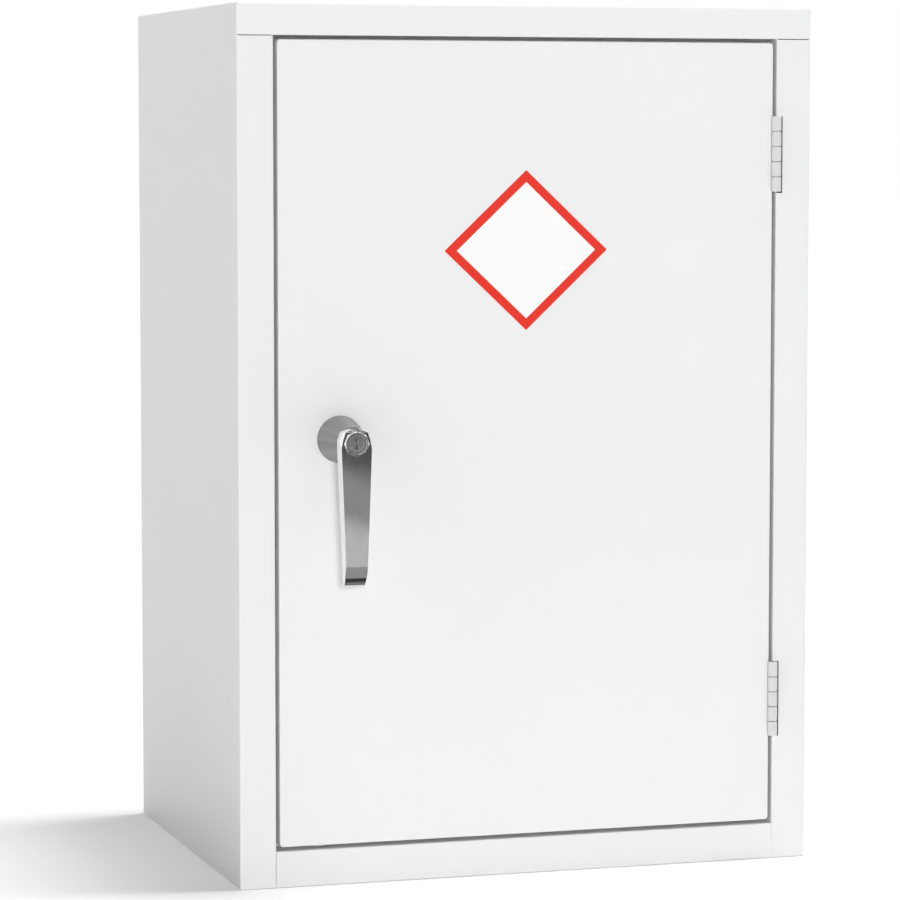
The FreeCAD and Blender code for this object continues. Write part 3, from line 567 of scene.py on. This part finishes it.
class BuildTopPanel(bpy.types.Operator):
    """Top sheet with its front rail, flange and stop lip"""

    bl_idname = "cabinet.top_panel"
    bl_label = "Top panel"

    def execute(self, context):
        s = context.scene.cabinet_sheets
        low, high = np.array((-WALL_HIGH.x, WALL_LOW.y)), np.array(WALL_HIGH)[:2]
        rail = TOP_LEVEL - s.top_rail
        flat = 4 * s.bend

        def section(rim, rise):
            """Half of the sheet's section: its lower edge is a quarter ellipse, rise high."""
            turn = np.linspace(0, QUARTER, ARC_STEPS + 1)
            run = 0.9 * s.gauge
            edge = np.stack([run * (1 - np.cos(turn)), rim + rise * (1 - np.sin(turn))], 1)
            outside = rounded_line([(flat, TOP_LEVEL), (0, TOP_LEVEL), edge[0]], [s.bend])
            inside = rounded_line([(s.gauge, rim), (s.gauge, TOP_LEVEL - s.gauge),
                                   (flat, TOP_LEVEL - s.gauge)], [s.bend - s.gauge])
            return np.concatenate([outside[:-1], edge, inside])

        cut_rise = 0.02 * MM
        sign, direction = ring_path()
        points = len(sign) // 4
        order = np.r_[0:2 * points, 2 * points, 2 * points:4 * points, 4 * points - 1]
        is_rail = np.r_[np.zeros(2 * points + 1, bool), np.ones(2 * points, bool), False]
        sections = np.where(is_rail[None, :, None], section(rail, s.seam_round)[:, None],
                            section(TOP_LEVEL - s.bend, cut_rise)[:, None])
        lid = pan(low, high, s.bend, sections, 2, (sign[order], direction[order]))
        wall = WALL_HIGH.x - s.gauge
        flange = prism(folded(flange_section(s, low[1] + s.gauge, rail, -1, rail - s.stop_lip)),
                       0, -wall, wall)
        hole = rod_cutter(s, 1, s.rod_hole, rail - OVERRUN, rail + OVERRUN)
        add_sheet(context, "top_cover", lid, "top_panel")
        add_sheet(context, "top_rail_flange", flange, "top_panel",
                  [*lip_ends(s, rail, rail - s.stop_lip), hole])
        return {"FINISHED"}


class BuildBasePanel(bpy.types.Operator):
    """Base sheet with its bottom rail, flange and stop lip"""

    bl_idname = "cabinet.base_panel"
    bl_label = "Base panel"

    def execute(self, context):
        s = context.scene.cabinet_sheets
        low, high = np.array((-WALL_HIGH.x, WALL_LOW.y)), np.array(WALL_HIGH)[:2]
        flat = 4 * s.bend
        section = rounded_line([(flat, 0), (0, 0), (0, s.bend), (s.gauge, s.bend),
                                (s.gauge, s.gauge), (flat, s.gauge)],
                               [s.bend, 0, 0, s.bend - s.gauge])
        add_sheet(context, "base_sheet", pan(low, high, s.bend, section, 2), "base_panel")
        front, rail = low[1], s.bottom_rail
        lip_end = rail + s.stop_lip
        flange = flange_section(s, front, rail, 1, lip_end)
        rows = [(front, s.bend, 0), (front, rail, s.crease), *flange[1:-1],
                (front + s.gauge, rail - s.gauge, s.inner_crease), (front + s.gauge, s.bend, 0)]
        opening = WALL_HIGH.x - s.stile
        sill = prism(folded(rows), 0, -opening, opening)
        hole = rod_cutter(s, -1, s.rod_hole, rail - OVERRUN, rail + OVERRUN)
        add_sheet(context, "bottom_rail", sill, "base_panel",
                  [*lip_ends(s, rail + 0.5 * s.gauge, lip_end), hole])
        return {"FINISHED"}


class BuildShelving(bpy.types.Operator):
    """Shelf, its rim down, and spill tray, its rim up; finish of the back, strips and clips"""

    bl_idname = "cabinet.shelving"
    bl_label = "Shelf and tray"

    def execute(self, context):
        s = context.scene.cabinet_sheets
        flat = 4 * s.bend
        for name, node, sheet_end, outer, inner in (
                ("shelf_board", "shelf", 1, s.crease, s.inner_crease),
                ("spill_pan", "spill_tray", 0, s.tray_corner, s.tray_corner - s.gauge)):
            corners = [np.array(corner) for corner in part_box(node)]
            sheet, rim = corners[sheet_end][2], corners[1 - sheet_end][2]
            inside = sheet + math.copysign(s.gauge, rim - sheet)
            section = rounded_line([(flat, sheet), (0, sheet), (0, rim), (s.gauge, rim),
                                    (s.gauge, inside), (flat, inside)],
                                   [outer, s.cut_edge, s.cut_edge, inner])
            shell = pan(corners[0][:2], corners[1][:2], outer, section, 2)
            add_sheet(context, name, shell, node, sharp=14)
        strips = [f"shelf_strip_{side}_{end}"
                  for side in ("left", "right") for end in ("front", "back")]
        finish_nodes(["back_panel", *strips], coat_of(context))
        zinc = zinc_plate("clip_zinc", context.scene.cabinet_colours.zinc)
        finish_nodes(["shelf_clips"], zinc)
        return {"FINISHED"}


class BuildDoor(bpy.types.Operator):
    """Door sheet with folded edges and lips, its stiffener and its buffers"""

    bl_idname = "cabinet.door"
    bl_label = "Door"

    def execute(self, context):
        s = context.scene.cabinet_sheets
        front, back = DOOR_LOW.y, DOOR_HIGH.y
        flat = 3 * s.door_lip
        section = rounded_line(
            [(flat, front), (0, front), (0, back), (s.door_lip, back), (s.door_lip, back - s.gauge),
             (s.gauge, back - s.gauge), (s.gauge, front + s.gauge), (flat, front + s.gauge)],
            [s.crease, s.door_fold, s.cut_edge, s.cut_edge, s.inner_crease, s.inner_crease])
        low, high = (np.array((corner.x, corner.z)) for corner in (DOOR_LOW, DOOR_HIGH))
        leaf = pan(low, high, s.door_corner, section, 1)
        holes = [rod_cutter(s, 1, s.edge_hole, high[1] - OVERRUN, high[1] + OVERRUN),
                 rod_cutter(s, -1, s.edge_hole, low[1] - OVERRUN, low[1] + OVERRUN)]
        add_sheet(context, "door_leaf", leaf, "door_skin", holes, "door_body")
        finish_nodes(["door_stiffener"], coat_of(context))
        rubber = moulded("buffer_rubber_grain", context.scene.cabinet_colours.rubber, 0.62, 1500)
        points = np.array([v.co for v in frame["nodes"]["door_buffers"].data.vertices])
        halfway = (DOOR_LOW.z + DOOR_HIGH.z) / 2
        shells = []
        for x_sign in (-1, 1):
            for upper in (False, True):
                near = points[(np.sign(points[:, 0]) == x_sign)
                              & ((points[:, 2] > halfway) == upper)]
                low, high = near.min(0), near.max(0)
                radius, middle = (high[0] - low[0]) / 2, (low + high) / 2
                tall = high[1] - low[1]
                dome = rounded_line(
                    [(0, low[1]), (radius, low[1]), (radius * 0.92, high[1]), (0, high[1])],
                    [0.1 * tall, 0.45 * tall])
                shells.append(lathe(dome, (middle[0], 0, middle[2]), 1, 48))
        add_piece("buffer_domes", shells, "door_body", ["door_buffers"], [rubber])
        return {"FINISHED"}


class BuildLabel(bpy.types.Operator):
    """Diamond label plate with a coloured border round a plain field"""

    bl_idname = "cabinet.label"
    bl_label = "Label"

    def execute(self, context):
        f = context.scene.cabinet_fittings
        colours = context.scene.cabinet_colours
        low, high = (np.array(corner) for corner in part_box("door_label"))
        centre = ((low + high) / 2)[[0, 2]]
        wide, tall = (high - low)[[0, 2]] / 2
        diamond = np.array([(wide, 0), (0, tall), (-wide, 0), (0, -tall)])
        side_distance = wide * tall / math.hypot(wide, tall)
        shrunk = diamond * (1 - f.label_border / side_distance)
        outer = rounded_line(diamond, [0.8 * MM] * 4, closed=True) + centre
        inner = rounded_line(shrunk, [0.1 * MM] * 4, closed=True) + centre
        edge = 0.12 * MM
        face, back = low[1], high[1]
        field_drop = 0.1 * (back - face)

        def loop(outline, inset, level):
            """Ring of an outline, drawn towards the centre by an inset, at a level."""
            ring = np.empty((len(outline), 3))
            ring[:, [0, 2]] = centre + (outline - centre) * (1 - inset / side_distance)
            ring[:, 1] = level
            return ring

        border = np.stack([loop(inner, 0, back), loop(outer, 0, back), loop(outer, 0, face + edge),
                           loop(outer, edge, face), loop(inner, 0, face), loop(inner, 0, back)])
        field = np.stack([loop(inner, 0, back), loop(inner, 0, face + field_drop)])
        red = label_print("label_border_print", colours.label_red)
        white = label_print("label_field_print", colours.label_white)
        add_piece("label_diamond", [(*skin(border, caps=False), 0), (*skin(field), 1)], "door_body",
                  ["door_label"], [red, white])
        return {"FINISHED"}


class BuildHinges(bpy.types.Operator):
    """Both butt hinges: knuckled leaves and their pins"""

    bl_idname = "cabinet.hinges"
    bl_label = "Hinges"

    def execute(self, context):
        f = context.scene.cabinet_fittings
        colours = context.scene.cabinet_colours
        paint = powder_coat("hinge_paint_coat", colours.hinge_paint)
        zinc = zinc_plate("hinge_pin_zinc", colours.zinc)
        centre = np.array((HINGE_AXIS[0], HINGE_AXIS[1], 0))
        for name in ("upper", "lower"):
            pin_low, pin_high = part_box(f"{name}_hinge_pin")
            bore = (pin_high.x - pin_low.x) / 2
            low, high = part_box(f"{name}_hinge_frame_leaf")
            reach = high.y - HINGE_AXIS[1]
            low, high = low.z, high.z
            pitch = (high - low + f.knuckle_gap) / f.knuckles
            for side, part, body in ((1, "frame", "carcass_body"), (-1, "door", "door_body")):
                own = [number for number in range(f.knuckles) if (number % 2 == 0) == (side > 0)]
                shells = []
                for number in own:
                    start = low + number * pitch
                    end = start + pitch - f.knuckle_gap
                    profile = rounded_line(
                        [(bore, start), (f.knuckle, start), (f.knuckle, end), (bore, end)],
                        [f.knuckle_round, f.knuckle_round])
                    ring = np.concatenate([profile, profile[:1]])
                    shells.append(lathe(ring, centre, 2, 64, caps=False))
                shells.append(leaf_plate(f, side, own, low, high, pitch, reach))
                add_piece(f"{name}_hinge_{part}", shells, body, [f"{name}_hinge_{part}_leaf"],
                          [paint])
            dome = rounded_line([(0, low), (bore, low), (bore, high), (0, high)], [0.6 * MM] * 2)
            add_piece(f"{name}_hinge_rivet", [lathe(dome, centre, 2, 48)], "carcass_body",
                      [f"{name}_hinge_pin"], [zinc])
        return {"FINISHED"}


def leaf_plate(f, side, own, low, high, pitch, reach):
    """Hinge leaf: a comb outline in Y and Z, carried through the leaf's thickness along X.

    Its inner edge runs into the barrel at the leaf's own knuckles and stays clear of the others."""
    clear = f.knuckle + 0.5 * MM
    inner = []
    for number in range(f.knuckles):
        depth = 0.0 if number in own else clear
        start = low + number * pitch - (0 if number in own or number == 0 else f.knuckle_gap)
        end = low + (number + 1) * pitch - f.knuckle_gap
        end += 0 if number in own or number == f.knuckles - 1 else f.knuckle_gap
        inner += [(depth, start), (depth, end)]
    outline = np.array([(reach, low), (reach, high), *inner[::-1]]) + (HINGE_AXIS[1], 0)
    near, far = sorted((side * f.leaf_inner, side * f.leaf_outer))
    return prism(outline, 0, HINGE_AXIS[0] + near, HINGE_AXIS[0] + far)


def lever_outline(level):
    """Half width of the lever at a level over its axis.

    Two facets run up the head, and the grip tapers down."""
    levels = np.array([-115, 3, 9.45, 11.6]) * MM
    return np.interp(level, levels, np.array([8.8, 13.4, 11.2, 4.5]) * MM)


def lever_surface(f):
    """Grid of the lever: rounded rectangles at stations down the head, the grip and the lip.

    A station has a front point and a back point in Y and Z. On the grip both lie level: the front
    on a shallow parabola that stands proud by the crown in its middle, the back on a straight
    line. On the lip both turn about the bend's centre until the front has dropped to the tip's
    level, the front at the outer radius and the back at one that grows towards it, so that the lip
    thins. The half width follows the outline. Corners are arcs down the grip and pass into straight
    chamfers at the head, whose top is chamfered to the front by the same amount."""
    back_top, back_end, lip_thick = -218 * MM, -218.8 * MM, 7.5 * MM
    bend_level, tip_level, outer = -96 * MM, -115 * MM, 26 * MM
    grip_steps, lip_steps = 30, 28
    head = np.array([11.6, 11.3, 9.5, 9.3, 6.3, 3.2, 2.6, 0.0]) * MM
    grip = np.linspace(-3 * MM, bend_level, grip_steps)
    level = np.r_[head, grip]
    span = (head[0] - bend_level) / 2
    proud = f.lever_crown * (((level - head[0] + span) / span) ** 2)
    top_chamfer = np.maximum(level - (head[0] - f.head_chamfer), 0)
    slope = np.interp(level, [-99 * MM, -13.8 * MM], [back_end, back_top])
    front_line = np.stack([LEVER_FRONT + proud + top_chamfer, level], 1)
    back_line = np.stack([slope, level], 1)
    centre = np.array((LEVER_FRONT + f.lever_crown + outer, bend_level))
    angle = np.linspace(0, math.asin((bend_level - tip_level) / outer), lip_steps)[1:]
    inner = np.linspace(centre[0] - slope[-1], outer - lip_thick, lip_steps)[1:]
    turned = np.stack([-np.cos(angle), -np.sin(angle)], 1)
    front_line = np.concatenate([front_line, centre + outer * turned])
    back_line = np.concatenate([back_line, centre + inner[:, None] * turned])
    half = lever_outline(front_line[:, 1])
    half[: len(level)] = lever_outline(level)
    inset = np.zeros(len(half))
    inset[-3:] = np.array([0.15, 0.5, 1.3]) * MM
    sign, direction = ring_path()
    share = np.linspace(0, 1, ARC_STEPS + 1)[:, None]
    arcs = direction.reshape(4, -1, 2)
    chord = (arcs[:, :1] * (1 - share) + arcs[:, -1:] * share).reshape(-1, 2)
    roundness = np.ones(len(half))
    roundness[: len(level)] = np.interp(-level, [-3.2 * MM, 3 * MM], [0, 1])
    corner = f.head_chamfer + (f.lever_round - f.head_chamfer) * roundness
    roundness = roundness[:, None, None]
    path = chord * (1 - roundness) + direction * roundness
    across = back_line - front_line
    thick = np.linalg.norm(across, axis=1)
    along = across / thick[:, None]
    half, low, high = half - inset, inset, thick - inset
    corner = np.minimum(corner, 0.45 * np.minimum(2 * half, high - low))
    x = sign[:, 0] * (half - corner)[:, None] + path[..., 0] * corner[:, None]
    depth = np.where(sign[:, 1] > 0, (high - corner)[:, None], (low + corner)[:, None])
    depth = depth + path[..., 1] * corner[:, None]
    grid = np.empty(x.shape + (3,))
    grid[..., 0] = x + HANDLE_AXIS[0]
    grid[..., 1:] = front_line[:, None] + along[:, None] * depth[..., None] + (0, HANDLE_AXIS[2])
    return grid


class BuildHandle(bpy.types.Operator):
    """Rose and tapered lever of the swing handle"""

    bl_idname = "cabinet.handle"
    bl_label = "Swing handle"

    def execute(self, context):
        f = context.scene.cabinet_fittings
        colours = context.scene.cabinet_colours
        door, rose_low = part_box("handle_rose")[1].y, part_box("handle_rose")[0].y
        face = DOOR_LOW.y
        shank = 10 * MM
        profile = rounded_line([(shank, door), (shank, face), (f.rose_base, face),
                                (f.rose_top, rose_low), (0, rose_low)], [0, 0.5 * MM, 0.6 * MM])
        profile = np.concatenate([[(0, door)], profile])
        centre = (HANDLE_AXIS[0], 0, HANDLE_AXIS[2])
        nickel = satin_nickel("rose_satin_nickel", colours.nickel)
        add_piece("rose_cone", [lathe(profile, centre, 1, 128)], "door_body", ["handle_rose"],
                  [nickel], sharp=20)
        chrome = bright_chrome("lever_bright_chrome", colours.chrome)
        add_piece("lever_grip", [skin(lever_surface(f))], "handle_body", ["handle_lever"],
                  [chrome], sharp=15)
        return {"FINISHED"}


class BuildLock(bpy.types.Operator):
    """Key lock: octagonal bezel, rim and slotted plug"""

    bl_idname = "cabinet.lock"
    bl_label = "Key lock"

    def execute(self, context):
        colours = context.scene.cabinet_colours
        low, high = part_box("lock_cylinder")
        face = low.y
        centre = np.array((HANDLE_AXIS[0], 0, HANDLE_AXIS[2]))
        angle = np.linspace(0, math.tau, 96, endpoint=False)
        eighth = math.pi / 4
        octagon = math.cos(eighth / 2) / np.cos((angle % eighth) - eighth / 2)
        rim, inner, seat = 10.3 * MM, 9.2 * MM, face + 1.9 * MM
        profile = [(rim, seat), (rim, face + 0.9 * MM), (9.3 * MM, face + 0.12 * MM),
                   (9.1 * MM, face), (8.35 * MM, face), (8.2 * MM, face + 0.15 * MM),
                   (8.05 * MM, high.y), (inner, high.y), (inner, seat), (rim, seat)]
        shape = np.ones((len(profile), len(angle)))
        shape[[0, 1, -1]] = octagon
        bezel = lathe(profile, centre, 1, len(angle), shape, caps=False)
        chrome = bright_chrome("lock_bright_chrome", colours.chrome)
        add_piece("lock_bezel", [bezel], "handle_body", ["lock_cylinder"], [chrome],
                  sharp=15)
        plug_low, plug_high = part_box("lock_plug")
        radius = plug_high.x - HANDLE_AXIS[0]
        top, bottom = plug_low.y, plug_high.y
        dish = top + 0.35 * MM
        profile = rounded_line([(0, dish), (5.2 * MM, dish), (5.6 * MM, top), (radius, top),
                                (radius, bottom), (0, bottom)], [0.1 * MM, 0.15 * MM, 0.45 * MM, 0])
        slot = keyway_cutter(centre, top, top + 8 * MM)
        nickel = satin_nickel("plug_satin_nickel", colours.plug)
        add_piece("plug_face", [lathe(profile, centre, 1, 96)], "plug_body", ["lock_plug"],
                  [nickel], [slot], 20)
        return {"FINISHED"}


def keyway_cutter(centre, face, depth):
    """Key slot: a zigzag outline in X and Z, carried along Y from before the face to its depth."""
    right = [(1.2, 4.5), (1.2, 2.6), (0.35, 1.9), (0.35, 0.2), (1.2, -0.6), (1.2, -4.5)]
    left = [(-1.2, -4.5), (-1.2, -2.2), (-0.45, -1.4), (-0.45, 0.6), (-1.2, 1.4), (-1.2, 4.5)]
    outline = np.array(right + left) * MM + centre[[0, 2]]
    return prism(outline, 1, face - OVERRUN, depth)


class FinishLinkage(bpy.types.Operator):
    """Finishes of the lock's linkage behind the door"""

    bl_idname = "cabinet.linkage"
    bl_label = "Linkage finishes"

    def execute(self, context):
        colours = context.scene.cabinet_colours
        steel = zinc_plate("linkage_zinc", colours.zinc)
        finish_nodes(["shank_nut", "handle_spindle", "spindle_spacer", "lock_cam", "cam_pins",
                      "lock_tongue", "tongue_washer", "tongue_nut", "top_rod", "bottom_rod"], steel)
        nylon = moulded("guide_nylon", colours.nylon, 0.5, 1100)
        finish_nodes(["top_rod_guide", "bottom_rod_guide"], nylon)
        return {"FINISHED"}


def stage_material(name):
    """Empty material for the stage, with its tree."""
    material = bpy.data.materials.new(name)
    material.use_nodes = True
    material.node_tree.nodes.clear()
    return material, material.node_tree


def add_stage_mesh(name, grid, material):
    """Stage object of an open grid of points."""
    mesh = bpy.data.meshes.new(name)
    points, faces = skin(grid, wrap=False, caps=False)
    mesh.from_pydata(points, [], faces)
    mesh.materials.append(material)
    thing = new_object(name, mesh)
    return thing


class BuildStudio(bpy.types.Operator):
    """Floor, world, lamps and camera"""

    bl_idname = "cabinet.studio"
    bl_label = "Studio"

    def execute(self, context):
        scene = context.scene
        scene.view_settings.view_transform = "Standard"
        self.add_world(scene)
        self.add_floor()
        self.add_lamps()
        self.add_cards()
        self.add_camera(scene)
        return {"FINISHED"}

    def add_world(self, scene):
        """White for the camera, reflections and glass; a plain dimmer white for everything else."""
        world = bpy.data.worlds.new("studio_world")
        scene.world = world
        world.use_nodes = True
        tree = world.node_tree
        tree.nodes.clear()
        path = add_node(tree, "ShaderNodeLightPath").outputs
        straight = path["Is Camera Ray"]
        for ray in ("Is Glossy Ray", "Is Transmission Ray"):
            straight = add_node(tree, "ShaderNodeMath", {0: straight, 1: path[ray]},
                                operation="MAXIMUM").outputs[0]
        light, seen = (
            add_node(tree, "ShaderNodeBackground", {"Color": (1, 1, 1, 1), "Strength": strength})
            for strength in (WORLD_LIGHT, 1.0))
        mix = add_node(tree, "ShaderNodeMixShader",
                       {"Fac": straight, 1: light.outputs[0], 2: seen.outputs[0]})
        add_node(tree, "ShaderNodeOutputWorld", {"Surface": mix.outputs[0]})

    def add_floor(self):
        """Flat square, 60 m across, that takes the shadow and glows a little for the camera."""
        material, tree = stage_material("studio_floor")
        diffuse = add_node(tree, "ShaderNodeBsdfDiffuse", {"Color": (0.86, 0.86, 0.865, 1)})
        dark, glow = (add_node(tree, "ShaderNodeEmission", {"Strength": strength})
                      for strength in (0.0, FLOOR_GLOW))
        camera = add_node(tree, "ShaderNodeLightPath").outputs["Is Camera Ray"]
        mix = add_node(tree, "ShaderNodeMixShader",
                       {"Fac": camera, 1: dark.outputs[0], 2: glow.outputs[0]})
        both = add_node(tree, "ShaderNodeAddShader", {0: diffuse.outputs[0], 1: mix.outputs[0]})
        add_node(tree, "ShaderNodeOutputMaterial", {"Surface": both.outputs[0]})
        side = np.linspace(-30, 30, 2)
        grid = np.stack([*np.meshgrid(side, side), np.zeros((2, 2))], 2)
        add_stage_mesh("studio_floor", grid, material)

    def add_lamps(self):
        """Two weak fills, and a tall key light from the right as a row of lamps from low to high.

        A key's row holds its rise and turn in degrees, its brightness, and whether it shows in
        reflections. A lamp's energy is pi times its brightness, and its light has the brightness
        on a white surface that faces it."""
        lamps = [("front_fill", 0.42, 11, (-0.19, -0.97, 0.15), False),
                 ("left_fill", 0.20, 60, (-0.95, -0.25, 0.17), False)]
        keys = ((58, -10, 0.08, False), (68, -5, 0.12, False), (75, 0, 0.17, False),
                (80, 7, 0.20, True), (84, 14, 0.22, True))
        for number, (rise, turn, brightness, mirrored) in enumerate(keys):
            rise, turn = math.radians(rise), math.radians(turn)
            direction = (math.cos(turn) * math.cos(rise), math.sin(turn) * math.cos(rise),
                         math.sin(rise))
            lamps.append((f"key_lamp_{number + 1}", brightness, 10, direction, mirrored))
        for name, brightness, angle, direction, mirrored in lamps:
            sun = bpy.data.lights.new(name, "SUN")
            sun.energy = brightness * math.pi
            sun.angle = math.radians(angle)
            lamp = new_object(name, sun)
            lamp.rotation_euler = aim(direction)
            lamp.visible_glossy = mirrored

    def add_cards(self):
        """Grey cards that only reflections see: an upright one, one on the floor, one overhead.

        The upright card is a patch of a cylinder, one metre round the handle's axis. Its grey
        follows the height plus a share of the way across, so that its bands run aslant."""
        turn, rise = np.meshgrid(np.radians(np.linspace(-12, 48, 32)), np.linspace(0.004, 0.9, 12))
        upright = np.stack([HANDLE_AXIS[0] + np.sin(turn), LEVER_FRONT - np.cos(turn), rise], 2)
        middle, share = math.radians(15.6), 0.5
        slant = np.array((math.cos(middle), math.sin(middle))) * share
        place = -slant[0] * HANDLE_AXIS[0] - slant[1] * LEVER_FRONT
        self.add_card("upright_card", upright, (*slant, 1), place, UPRIGHT_GREYS)
        for name, across, deep, level, greys in (
                ("floor_card", (-0.7, 0.7), (-1.2, -0.184), 0.0005, FLOOR_GREYS),
                ("overhead_card", (-0.05, 0.6), (-0.75, 0.1), 1.6, OVERHEAD_GREYS)):
            x, y = np.meshgrid(np.linspace(*across, 3), np.linspace(*deep, 3))
            self.add_card(name, np.stack([x, y, np.full(x.shape, level)], 2), (0, 1, 0), 0, greys)

    def add_card(self, name, grid, along, start, greys):
        """Card of a grid of points, out of sight of all but reflections."""
        card = add_stage_mesh(name, grid, card_material(name, along, start, greys))
        for sight in ("camera", "diffuse", "shadow", "transmission"):
            setattr(card, f"visible_{sight}", False)

    def add_camera(self, scene):
        """Camera of the solved view: a long lens, tipped down 5 degrees and turned right by 17."""
        camera = bpy.data.cameras.new("photo_camera")
        camera.sensor_width = 36
        camera.lens = FOCAL_PIXELS / PHOTO_PIXELS * camera.sensor_width
        camera.clip_end = 200
        scene.camera = new_object("photo_camera", camera)
        scene.camera.location = (-0.95861, -3.04686, 0.60540)
        tip, turn = 0.0842, 0.3011
        scene.camera.rotation_euler = (QUARTER - tip, 0, -turn)


UPRIGHT_GREYS = (
    (0.0, 0.50), (0.177, 0.50), (0.190, 0.21), (0.201, 0.19), (0.215, 0.27), (0.255, 0.27),
    (0.271, 0.10), (0.305, 0.07), (0.350, 0.07), (0.425, 0.5), (0.9, 0.85),
)
FLOOR_GREYS = (
    (-1.2, 0.30), (-0.40, 0.28), (-0.375, 0.04), (-0.30, 0.04), (-0.285, 0.17), (-0.184, 0.20),
)
OVERHEAD_GREYS = ((-0.75, 0.04), (0.1, 0.06))


def card_material(name, along, start, greys):
    """Grey light whose strength follows the card's place along a direction, through a ramp."""
    material, tree = stage_material(name)
    low, high = greys[0][0], greys[-1][0]
    place = add_node(tree, "ShaderNodeTexCoord").outputs["Object"]
    reach = add_node(tree, "ShaderNodeVectorMath", {0: place, 1: along}, operation="DOT_PRODUCT")
    share = add_node(tree, "ShaderNodeMapRange", {
        "Value": reach.outputs["Value"], "From Min": low - start, "From Max": high - start})
    ramp = add_node(tree, "ShaderNodeValToRGB", {"Fac": share.outputs["Result"]})
    elements = ramp.color_ramp.elements
    while len(elements) < len(greys):
        elements.new(0.5)
    for element, (at, grey) in zip(elements, greys):
        element.position = (at - low) / (high - low)
        element.color = (grey, grey, grey, 1)
    glow = add_node(tree, "ShaderNodeEmission", {"Color": ramp.outputs["Color"]})
    add_node(tree, "ShaderNodeOutputMaterial", {"Surface": glow.outputs[0]})
    return material


def aim(direction):
    """Turn of a lamp that shines from a direction to the middle, with its -Z axis against it."""
    x, y, z = direction
    return (math.atan2(math.hypot(x, y), z), 0.0, math.atan2(y, x) + QUARTER)


OPERATORS = (
    BuildSidePanels, BuildTopPanel, BuildBasePanel, BuildShelving, BuildDoor, BuildLabel,
    BuildHinges, BuildHandle, BuildLock, FinishLinkage, BuildStudio,
)


class CabinetPanel(bpy.types.Panel):
    """Sizes, colours and building steps of the cabinet"""

    bl_idname = "VIEW3D_PT_cabinet"
    bl_label = "Storage cabinet"
    bl_space_type = "VIEW_3D"
    bl_region_type = "UI"
    bl_category = "Cabinet"

    def draw(self, context):
        for name, group in GROUPS.items():
            for setting in group.__annotations__:
                self.layout.prop(getattr(context.scene, name), setting)
        for operator in OPERATORS:
            self.layout.operator(operator.bl_idname)


GROUPS = {
    "cabinet_sheets": CabinetSheetSizes,
    "cabinet_fittings": CabinetFittingSizes,
    "cabinet_colours": CabinetColours,
}


CLASSES = (*GROUPS.values(), *OPERATORS, CabinetPanel)


def register():
    """Makes the classes known and hangs the settings on the scene."""
    for one in CLASSES:
        bpy.utils.register_class(one)
    for name, group in GROUPS.items():
        setattr(bpy.types.Scene, name, PointerProperty(type=group))


def unregister():
    """Takes back what register did."""
    for name in GROUPS:
        delattr(bpy.types.Scene, name)
    for one in reversed(CLASSES):
        bpy.utils.unregister_class(one)


def main():
    """Registers the classes, and builds every piece and the studio."""
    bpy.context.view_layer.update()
    register()
    for operator in OPERATORS:
        group, name = operator.bl_idname.split(".")
        getattr(getattr(bpy.ops, group), name)()


if __name__ == "__main__":
    main()
